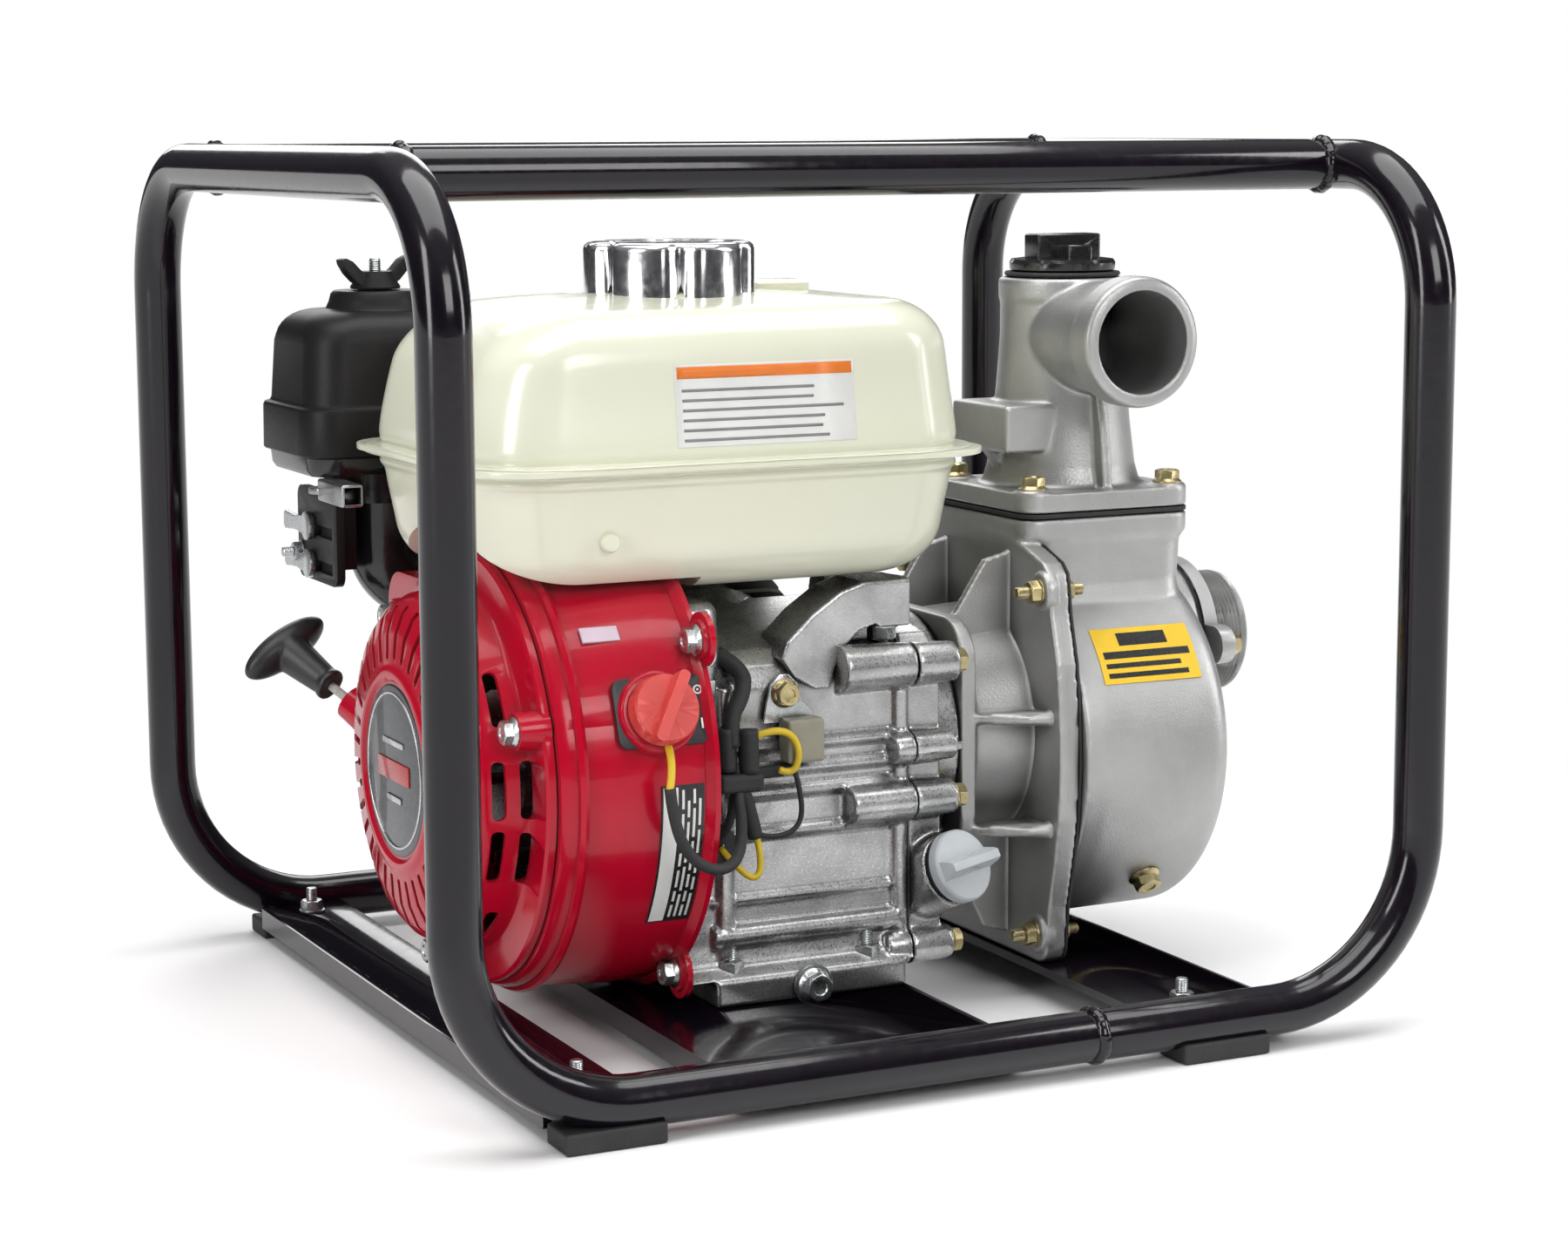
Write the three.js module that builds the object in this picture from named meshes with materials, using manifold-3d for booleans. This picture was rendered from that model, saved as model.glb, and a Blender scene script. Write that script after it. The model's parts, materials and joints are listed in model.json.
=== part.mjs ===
// Engine-driven centrifugal water pump in a tubular carrying frame.
// Millimetres, +Z up. X runs along the crankshaft from the recoil starter (-X) to the suction port (+X),
// and -Y is the side with the engine switch and the oil filler. The origin is under the middle of the frame.
import * as THREE from "three";
import { mergeVertices } from "three/addons/utils/BufferGeometryUtils.js";
import Module from "manifold-3d";

const wasm = await Module();
wasm.setup();

// Driving dimensions
const GAP = 0.3; // clearance between pieces that touch on the real pump
const FRAME_LENGTH = 478;
const FRAME_WIDTH = 420;
const FRAME_HEIGHT = 394;
const TUBE_R = 11.1; // 7/8 inch frame tube
const FOOT_THICKNESS = 5; // rubber left under the tube
const BOTTOM_BEND_R = 75;
const TOP_BEND_R = 60;
const RAIL_INSET = 72; // from the plane of the legs to each top rail
const PLATE_T = 4; // cross plates of the frame
const CRANK_Y = -20;
const BASE_Z = 16.3; // underside of the crankcase
const CRANK_HEIGHT = 106; // crank axis above the underside of the crankcase
const CRANK_Z = BASE_Z + CRANK_HEIGHT;
const CYLINDER_TILT = THREE.MathUtils.degToRad(25); // cylinder axis above the horizontal, towards +Y
const CYLINDER_X = -20;
const SHROUD_X = [-151.2, -80.3]; // fan shroud, front and back
const SHROUD_R = 103;
const RECOIL_FACE_X = -190;
const CASE_X = [-79.7, 33]; // crankcase casting
const PTO_X = 63; // face that the pump bracket bolts to
const BRACKET_END_X = 112; // face that meets the pump casing gasket
const CASING_END_X = 194;
const CASING_R = 84;
const CASING_DROP = 11; // pump chamber centre below the crank axis
const PORT_R = 29.5; // 2 inch pipe thread
const PORT_BORE_R = 24.5;
const SUCTION_END_X = 237;
const SUCTION_RISE = 33; // suction port above the crank axis
const DISCHARGE_X = 148;
const DISCHARGE_HALF = 46; // half the side of the square discharge flange
const OUTLET_RISE = 180.5; // outlet axis above the crank axis
const OUTLET_REACH = 73; // outlet face in front of the riser axis
const TANK_Y = [-100, 78];
const SEAM_Z = 258; // seam between the two halves of the fuel tank
const TANK_T = 3;
const CAP_X = -50;
const CAP_Y = -8;
const OIL_FILLER = { axis: [0.27, -0.88, 0.39], at: [50, -72, -54] }; // places from the crank axis
const ROPE = { axis: [-0.45, 0.75, 0.48], exit: [-175, 99, 14] };
const SWITCH = { axis: [0, -0.943, 0.332], at: [-106, -96.5, 34] };

// Geometry helpers
const X = "x";
const Y = "y";
const Z = "z";
const AXES = { x: new THREE.Vector3(1, 0, 0), y: new THREE.Vector3(0, 1, 0), z: new THREE.Vector3(0, 0, 1) };
const TURN_TO = {
  x: new THREE.Matrix4().makeBasis(AXES.y, AXES.x, AXES.z.clone().negate()),
  y: new THREE.Matrix4(),
  z: new THREE.Matrix4().makeBasis(AXES.x, AXES.z, AXES.y.clone().negate()),
};
// A shape's plane is (y, z) for a prism along x, (x, z) for one along y and (x, y) for one along z.
const PRISM_TO = {
  x: new THREE.Matrix4().makeBasis(AXES.y, AXES.z, AXES.x),
  y: new THREE.Matrix4().makeBasis(AXES.x, AXES.z, AXES.y.clone().negate()),
  z: new THREE.Matrix4(),
};

function toSolid(geometry) {
  const bare = geometry.clone();
  bare.deleteAttribute("normal");
  bare.deleteAttribute("uv");
  const merged = mergeVertices(bare, 1e-3);
  const triVerts = new Uint32Array(merged.index.array);
  const vertProperties = new Float32Array(merged.attributes.position.array);
  const solid = new wasm.Manifold(new wasm.Mesh({ numProp: 3, vertProperties, triVerts }));
  if (solid.volume() >= 0) return solid;
  return new wasm.Manifold(new wasm.Mesh({ numProp: 3, vertProperties, triVerts: triVerts.reverse() }));
}

function join(...solids) {
  return solids.reduce((sum, solid) => sum.add(solid));
}

function cut(solid, ...tools) {
  return tools.reduce((rest, tool) => rest.subtract(tool), solid);
}

// A straight bar of any outline, from start to end along an axis, with an optional rounded edge.
function prism(axis, shape, start, end, edge = 0, arcSteps = 4) {
  const geometry = new THREE.ExtrudeGeometry(shape, {
    depth: end - start - 2 * edge,
    bevelEnabled: edge > 0,
    bevelThickness: edge,
    bevelSize: edge,
    bevelOffset: -edge,
    bevelSegments: 2,
    curveSegments: arcSteps / 2, // three.js doubles it on an arc
  });
  geometry.translate(0, 0, axis === Y ? -end + edge : start + edge);
  geometry.applyMatrix4(PRISM_TO[axis]);
  return toSolid(geometry);
}

// A body of revolution: points are [radius, position along the axis].
function turned(axis, points, segments = 24) {
  const profile = points.map(([r, h]) => new THREE.Vector2(r, h));
  return toSolid(new THREE.LatheGeometry(profile, segments).applyMatrix4(TURN_TO[axis]));
}

function rod(axis, radius, start, end, [a, b] = [0, 0], sides = 24, endRadius = radius) {
  const geometry = new THREE.CylinderGeometry(endRadius, radius, end - start, sides);
  geometry.translate(0, (start + end) / 2, 0).applyMatrix4(TURN_TO[axis]);
  const shift = { x: [0, a, b], y: [a, 0, b], z: [a, b, 0] }[axis];
  return toSolid(geometry.translate(...shift));
}

function ring(axis, outer, inner, start, end, centre, sides = 24) {
  return cut(
    rod(axis, outer, start, end, centre, sides),
    rod(axis, inner, start - 1, end + 1, centre, sides),
  );
}

function box([x0, x1], [y0, y1], [z0, z1]) {
  const geometry = new THREE.BoxGeometry(x1 - x0, y1 - y0, z1 - z0);
  return toSolid(geometry.translate((x0 + x1) / 2, (y0 + y1) / 2, (z0 + z1) / 2));
}

function roundedRect([a0, a1], [b0, b1], radius) {
  const shape = new THREE.Shape();
  shape.absarc(a1 - radius, b0 + radius, radius, -Math.PI / 2, 0);
  shape.absarc(a1 - radius, b1 - radius, radius, 0, Math.PI / 2);
  shape.absarc(a0 + radius, b1 - radius, radius, Math.PI / 2, Math.PI);
  shape.absarc(a0 + radius, b0 + radius, radius, Math.PI, Math.PI * 1.5);
  return shape;
}

function outline(points) {
  return new THREE.Shape(points.map(([a, b]) => new THREE.Vector2(a, b)));
}

// A route of straight runs and round bends, as the stations that a swept section passes.
class Route extends THREE.Curve {
  constructor(corners, radii, bendSteps = 6) {
    super();
    this.stations = [corners[0]];
    for (let i = 1; i < corners.length - 1; i++) {
      const back = corners[i - 1].clone().sub(corners[i]).normalize();
      const ahead = corners[i + 1].clone().sub(corners[i]).normalize();
      const half = back.angleTo(ahead) / 2;
      const radius = radii[i - 1];
      const inward = back.clone().add(ahead).normalize();
      const centre = corners[i].clone().addScaledVector(inward, radius / Math.sin(half));
      const from = corners[i].clone().addScaledVector(back, radius / Math.tan(half)).sub(centre);
      const to = corners[i].clone().addScaledVector(ahead, radius / Math.tan(half)).sub(centre);
      const normal = from.clone().cross(to).normalize();
      const sweep = from.angleTo(to);
      for (let step = 0; step <= bendSteps; step++) {
        this.stations.push(from.clone().applyAxisAngle(normal, (sweep * step) / bendSteps).add(centre));
      }
    }
    this.stations.push(corners[corners.length - 1]);
    this.steps = this.stations.length - 1;
  }

  getPoint(t, target = new THREE.Vector3()) {
    return target.copy(this.stations[Math.round(t * this.steps)]);
  }

  getPointAt(u, target) {
    return this.getPoint(u, target);
  }

  getTangentAt(u, target = new THREE.Vector3()) {
    const i = Math.round(u * this.steps);
    const before = this.stations[Math.max(i - 1, 0)];
    const after = this.stations[Math.min(i + 1, this.steps)];
    const into = this.stations[i].clone().sub(before).normalize();
    const out = after.clone().sub(this.stations[i]).normalize();
    return target.copy(into.add(out)).normalize();
  }
}

function tube(corners, radii, tubeRadius, sides = 12, bendSteps = 6) {
  const route = new Route(corners.map((c) => new THREE.Vector3(...c)), radii, bendSteps);
  const section = new THREE.Shape().absarc(0, 0, tubeRadius, 0, Math.PI * 2);
  const settings = { steps: route.steps, extrudePath: route, curveSegments: sides / 2, bevelEnabled: false };
  return toSolid(new THREE.ExtrudeGeometry(section, settings));
}

// A piece placed with its own +Z along a direction, at a point.
function aimed(solid, direction, at) {
  const turn = new THREE.Quaternion().setFromUnitVectors(AXES.z, new THREE.Vector3(...direction).normalize());
  const matrix = new THREE.Matrix4().compose(new THREE.Vector3(...at), turn, new THREE.Vector3(1, 1, 1));
  return toSolid(toGeometry(solid).applyMatrix4(matrix));
}

function toGeometry(solid) {
  const mesh = solid.getMesh();
  const geometry = new THREE.BufferGeometry();
  geometry.setAttribute("position", new THREE.BufferAttribute(new Float32Array(mesh.vertProperties), 3));
  geometry.setIndex(new THREE.BufferAttribute(new Uint32Array(mesh.triVerts), 1));
  geometry.computeVertexNormals();
  return geometry;
}

const FINISHES = {
  black_enamel: { color: 0x0b0a0d, roughness: 0.18, metalness: 0 },
  cast_aluminium: { color: 0xb4b4b2, roughness: 0.5, metalness: 0.85 },
  blasted_aluminium: { color: 0xbcbcba, roughness: 0.65, metalness: 0.6 },
  red_enamel: { color: 0xb3061a, roughness: 0.25, metalness: 0 },
  switch_red: { color: 0xd23a32, roughness: 0.45, metalness: 0 },
  tank_white: { color: 0xe6e4d2, roughness: 0.3, metalness: 0 },
  chrome: { color: 0xd8d8d8, roughness: 0.08, metalness: 1 },
  black_plastic: { color: 0x141416, roughness: 0.45, metalness: 0 },
  rubber: { color: 0x121212, roughness: 0.8, metalness: 0 },
  steel: { color: 0x8d8d8d, roughness: 0.4, metalness: 1 },
  dark_steel: { color: 0x3a3836, roughness: 0.6, metalness: 0.8 },
  grey_plastic: { color: 0xb9bcbd, roughness: 0.5, metalness: 0 },
  yellow_wire: { color: 0xd8c021, roughness: 0.5, metalness: 0 },
  cast_iron: { color: 0x4b4b4b, roughness: 0.7, metalness: 0.6 },
  filter_foam: { color: 0x55585a, roughness: 0.95, metalness: 0 },
};

function part(group, name, finish, solid) {
  const mesh = new THREE.Mesh(toGeometry(solid), new THREE.MeshStandardMaterial(FINISHES[finish]));
  mesh.name = name;
  group.add(mesh);
}

// Carrying frame: two bent hoops butt-welded under the pump, two top rails, cross plates and feet
function frameGroup() {
  const group = new THREE.Group();
  const legX = FRAME_LENGTH / 2 - TUBE_R;
  const legY = FRAME_WIDTH / 2 - TUBE_R;
  const lowZ = FOOT_THICKNESS + TUBE_R;
  const topZ = FRAME_HEIGHT - TUBE_R;
  const weldX = 60; // butt weld between the two hoops
  const radii = [BOTTOM_BEND_R, TOP_BEND_R, TOP_BEND_R, BOTTOM_BEND_R];
  const hoop = (side, startX) =>
    tube(
      [
        [startX, -legY, lowZ],
        [side * legX, -legY, lowZ],
        [side * legX, -legY, topZ],
        [side * legX, legY, topZ],
        [side * legX, legY, lowZ],
        [startX, legY, lowZ],
      ],
      radii,
      TUBE_R,
    );
  part(group, "frame_hoop_engine_end", "black_enamel", hoop(-1, weldX - GAP / 2));
  part(group, "frame_hoop_pump_end", "black_enamel", hoop(1, weldX + GAP / 2));
  const railEnd = legX - TUBE_R - GAP;
  for (const [name, side] of [["top_rail_near", -1], ["top_rail_far", 1]]) {
    const railY = side * (legY - RAIL_INSET);
    part(group, name, "black_enamel", rod(X, TUBE_R, -railEnd, railEnd, [railY, topZ], 12));
  }
  const plateEnd = legY - TUBE_R - GAP;
  const plateTop = BASE_Z - GAP;
  const plate = (x0, x1) => box([x0, x1], [-plateEnd, plateEnd], [plateTop - PLATE_T, plateTop]);
  const lip = (x0, x1) => box([x0, x1], [-plateEnd, plateEnd], [plateTop - 10, plateTop - 1]);
  part(group, "crossmember_engine_end", "black_enamel", join(plate(-188, -146), lip(-188, -184)));
  const mount = join(plate(-104, 30), lip(-104, -100), lip(26, 30));
  part(group, "crossmember_engine_mount", "black_enamel", mount);
  part(group, "crossmember_pump_end", "black_enamel", join(plate(100, 166), lip(162, 166)));
  const feet = [
    ["foot_near_left", -165, -1],
    ["foot_near_right", 122, -1],
    ["foot_far_left", -165, 1],
    ["foot_far_right", 122, 1],
  ];
  for (const [name, footX, side] of feet) {
    const sole = roundedRect([footX - 22, footX + 22], [side * legY - 11, side * legY + 11], 5);
    const saddle = rod(X, TUBE_R + GAP, footX - 30, footX + 30, [side * legY, lowZ], 16);
    part(group, name, "rubber", cut(prism(Z, sole, 0, 9, 0, 3), saddle));
  }
  return group;
}

// Engine castings, around the crank axis
function engineBlock() {
  const group = new THREE.Group();
  const cos = Math.cos(CYLINDER_TILT);
  const sin = Math.sin(CYLINDER_TILT);
  const bore = 34;
  const alongCylinder = (solid) => aimed(solid, [0, cos, sin], [CYLINDER_X, 0, 0]);
  const caseOutline = outline([
    [-70, -CRANK_HEIGHT], [-70, -94], [-60, -91], [-60, 34], [-48, 50], [-10, 56], [34, 60],
    [62, 10], [50, -40], [46, -91], [104, -94], [104, -CRANK_HEIGHT],
  ]);
  const cavity = rod(X, 50, -56, CASE_X[1] + 1, [0, 0], 20);
  const base = box([-66, 28], [-70, 104], [-CRANK_HEIGHT, -94]);
  const caseBody = prism(X, caseOutline, CASE_X[0], CASE_X[1]);
  const caseTrim = cut(
    caseBody,
    box([-90, -66], [-80, 110], [-110, -93.9]),
    box([28, 40], [-80, 110], [-110, -93.9]),
  );
  const ribs = [-58, -30, -2, 22].map((z) => box([-74, CASE_X[1] - 4], [-63, -59], [z, z + 3.5]));
  const seat = alongCylinder(rod(Z, 44, 30, 62, [0, 0], 22));
  const tankLug = join(
    rod(Z, 11, 30, 74, [-72, -44], 16, 9),
    box([-79, -66], [-54, -20], [44, 66]),
  );
  part(
    group,
    "crankcase",
    "cast_aluminium",
    cut(
      join(caseTrim, base, seat, ...ribs, tankLug),
      cavity,
      alongCylinder(rod(Z, bore, 20, 90, [0, 0], 20)),
      rod(X, 13.2, -90, 0, [0, 0], 20),
    ),
  );
  const coverOutline = outline([
    [-62, -98], [-62, 34], [-50, 52], [-10, 57], [34, 60], [60, 10], [48, -40], [44, -98],
  ]);
  const lugs = [[-64, 40], [-64, 0], [-64, -22], [-60, -90], [30, 62], [50, -62]].map(([y, z]) =>
    rod(X, 9, CASE_X[1] + GAP, 52, [y, z], 14),
  );
  const fillerAxis = OIL_FILLER.axis;
  const fillerRoom = box([CASE_X[1] + GAP, PTO_X - GAP], [-120, 0], [-110, 0]);
  const filler = aimed(rod(Z, 17, -40, -GAP, [0, 0], 20), fillerAxis, OIL_FILLER.at).intersect(fillerRoom);
  part(
    group,
    "crankcase_side_cover",
    "cast_aluminium",
    cut(
      join(
        prism(X, coverOutline, CASE_X[1] + GAP, 50, 0),
        rod(X, 56, 50, PTO_X, [0, 0], 22),
        ...lugs,
        filler,
      ),
      rod(X, 48, CASE_X[1] - 1, 44, [0, 0], 20),
      rod(X, 13.2, 30, 70, [0, 0], 16),
      aimed(rod(Z, 11.5, -41, 1, [0, 0], 16), fillerAxis, OIL_FILLER.at),
    ),
  );
  const fins = [66, 78, 90, 102, 114].map((h) =>
    prism(Z, roundedRect([-48, 48], [-36, 44], 12), h, h + 3, 0, 3),
  );
  const barrel = join(rod(Z, 38, 62.5, 130, [0, 0], 20), ...fins);
  const liner = rod(Z, bore, 60, 131, [0, 0], 20);
  part(group, "cylinder_barrel", "cast_aluminium", alongCylinder(cut(barrel, liner)));
  const headFins = [131, 141, 151].map((h) =>
    prism(Z, roundedRect([-50, 50], [-40, 46], 14), h, h + 3, 0, 3),
  );
  const intakePort = box([-62, -30], [-16, 16], [136, 160]);
  const headBody = prism(Z, roundedRect([-40, 40], [-34, 36], 10), 130.3, 165, 0, 3);
  const head = join(headBody, intakePort, ...headFins);
  part(group, "cylinder_head", "cast_aluminium", alongCylinder(head));
  const rocker = cut(
    prism(Z, roundedRect([-40, 40], [-34, 34], 14), 165.3, 200, 6, 3),
    prism(Z, roundedRect([-37, 37], [-31, 31], 11), 160, 196, 0, 3),
  );
  part(group, "rocker_cover", "cast_aluminium", alongCylinder(rocker));
  const pistonBody = cut(rod(Z, bore - 0.7, 74, 118, [0, 0], 20), rod(Z, 28, 70, 110, [0, 0], 20));
  part(group, "piston", "cast_aluminium", alongCylinder(pistonBody));
  const sparkAt = new THREE.Vector3(CYLINDER_X + 50.5, cos * 172, sin * 172 - 10);
  const leadAt = sparkAt.clone().add(new THREE.Vector3(8, 14, 0));
  const cap = join(
    aimed(rod(Z, 9, 0, 26, [0, 0], 14), [0.5, 0.86, 0], sparkAt.toArray()),
    aimed(rod(Z, 7, 8, 30, [0, 0], 12), [0.2, 0, -1], leadAt.toArray()),
  );
  part(group, "spark_plug_cap", "rubber", cap);
  return group;
}

// Rotating group: crankshaft, flywheel with its fan, and the pump impeller at the far end
function rotor() {
  const group = new THREE.Group();
  const throwR = 22.5;
  const cheek = new THREE.Shape();
  cheek.absarc(0, 0, 44, Math.PI * 0.95, Math.PI * 2.05);
  cheek.lineTo(16, throwR + 6);
  cheek.absarc(0, throwR + 4, 16, 0, Math.PI);
  const shaft = join(
    rod(X, 10, -158, -94, [0, 0], 20),
    rod(X, 12.7, -94, CYLINDER_X - 12, [0, 0], 20),
    prism(X, cheek, CYLINDER_X - 26, CYLINDER_X - 12),
    rod(X, 15, CYLINDER_X - 12.5, CYLINDER_X + 12.5, [0, throwR], 20),
    prism(X, cheek, CYLINDER_X + 12, CYLINDER_X + 26),
    rod(X, 12.7, CYLINDER_X + 12, 72, [0, 0], 20),
    rod(X, 9.5, 71, 146, [0, 0], 20),
  );
  part(group, "crankshaft", "steel", shaft);
  const bladeCount = 16;
  const blades = [];
  for (let i = 0; i < bladeCount; i++) {
    const blade = new THREE.BoxGeometry(18, 2.5, 34).translate(-126, 0, 66);
    const turn = new THREE.Matrix4().makeRotationX((i * 2 * Math.PI) / bladeCount);
    blades.push(toSolid(blade.applyMatrix4(turn)));
  }
  const disc = turned(X, [
    [10.3, -140], [32, -140], [32, -119], [86, -117], [86, -96], [72, -96], [70, -108], [10.3, -108],
    [10.3, -140],
  ]);
  part(group, "flywheel_fan", "cast_iron", join(disc, ...blades));
  const vaneCount = 5;
  const vanes = [];
  for (let i = 0; i < vaneCount; i++) {
    const curve = new THREE.Shape();
    curve.absarc(0, 27, 27, -Math.PI / 2 + 0.35, Math.PI * 0.28, false);
    curve.absarc(0, 27, 23, Math.PI * 0.28, -Math.PI / 2 + 0.35, true);
    const vane = prism(X, curve, 133, 147, 0, 6);
    const turn = new THREE.Matrix4().makeRotationX((i * 2 * Math.PI) / vaneCount);
    vanes.push(toSolid(toGeometry(vane).applyMatrix4(turn)));
  }
  const wheel = turned(
    X,
    [[9.8, 127], [50, 127], [50, 134], [17, 134], [17, 147], [9.8, 147], [9.8, 127]],
    22,
  );
  part(group, "impeller", "cast_iron", cut(join(wheel, ...vanes), rod(X, 9.8, 120, 150, [0, 0], 20)));
  return group;
}

// Red sheet-metal side of the engine: fan shroud, recoil starter and ignition parts
function coolingAndStarter() {
  const group = new THREE.Group();
  const [front, back] = SHROUD_X;
  const drum = (inset, from, to) =>
    turned(
      X,
      [[0, from], [98 - inset, from], [SHROUD_R - inset, -100], [SHROUD_R - inset, to], [0, to]],
      32,
    );
  const duct = (inset, from, to) =>
    prism(X, roundedRect([-10, 112 - inset], [-30, 74 - inset], 16), from, to, 0, 4);
  const rim = ring(X, SHROUD_R + 3, 90, back - 3, back, [0, 0], 32);
  const screwEars = [[-62.4, 74.9], [-64.5, -72.8]].map((place) => rod(X, 9, -98, back, place, 14));
  part(
    group,
    "fan_shroud",
    "red_enamel",
    cut(
      join(drum(0, front, back), duct(0, front, back), rim, ...screwEars),
      cut(drum(2.5, front - 1, back - 3), rod(X, 120, back - 3, back + 5)),
      duct(2.5, front + 2.5, back - 3),
      rod(X, 90, front - 1, back + 1, [0, 0], 32),
      box([back - 4, back + 1], [20, 100], [-20, 60]),
    ),
  );
  const face = RECOIL_FACE_X;
  const cover = turned(
    X,
    [
      [0, face], [62, face], [74, face + 8], [80, face + 24], [82, face + 33], [96.5, face + 34],
      [96.5, front - GAP], [94, front - GAP], [94, face + 36.5], [79, face + 36.5], [77, face + 26],
      [71, face + 11], [60, face + 2.5], [0, face + 2.5],
    ],
    32,
  );
  const louvreCount = 22;
  const louvres = [];
  for (let i = 0; i < louvreCount; i++) {
    const slot = new THREE.BoxGeometry(12, 5, 20).translate(face, 0, 51);
    const turn = new THREE.Matrix4().makeRotationX((i * 2 * Math.PI) / louvreCount);
    louvres.push(toSolid(slot.applyMatrix4(turn)));
  }
  const sideSlots = [-0.35, -0.12, 0.3, 0.55].map((angle) => {
    const slot = new THREE.BoxGeometry(14, 20, 14).translate(face + 24, -80, 0);
    return toSolid(slot.applyMatrix4(new THREE.Matrix4().makeRotationX(angle)));
  });
  const guide = aimed(rod(Z, 9, -22, 0, [0, 0], 16), ROPE.axis, ROPE.exit);
  const guideHole = aimed(rod(Z, 4.5, -46, 1, [0, 0], 12), ROPE.axis, ROPE.exit);
  part(group, "recoil_cover", "red_enamel", cut(join(cover, guide), ...louvres, ...sideSlots, guideHole));
  const reel = turned(
    X,
    [
      [6, face + 8], [20, face + 8], [20, face + 11], [58, face + 11], [58, face + 13], [52, face + 15],
      [52, face + 19], [58, face + 21], [58, face + 23], [6, face + 23], [6, face + 8],
    ],
    24,
  );
  part(group, "starter_reel", "black_plastic", reel);
  const grip = join(
    aimed(rod(Z, 3, GAP, 22, [0, 0], 8), ROPE.axis, ROPE.exit),
    aimed(rod(Z, 6, 14, 46, [0, 0], 12, 9), ROPE.axis, ROPE.exit),
    aimed(prism(Y, roundedRect([-24, 24], [38, 54], 7), -8, 8, 3, 4), ROPE.axis, ROPE.exit),
  );
  part(group, "starter_grip", "black_plastic", grip);
  part(
    group,
    "engine_switch_base",
    "black_plastic",
    cut(
      aimed(prism(Z, roundedRect([-20, 20], [-15, 17], 5), 0, 6, 1.5, 3), SWITCH.axis, SWITCH.at),
      rod(X, SHROUD_R + GAP, -140, -60, [0, 0], 32),
    ),
  );
  const knobBar = prism(Z, roundedRect([-4.5, 4.5], [-15, 15], 3), 12, 22, 1.5, 3);
  const knob = join(rod(Z, 14, 6.3, 13, [0, 0], 24), knobBar);
  part(group, "engine_switch_knob", "switch_red", aimed(knob, SWITCH.axis, SWITCH.at));
  return group;
}

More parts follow.
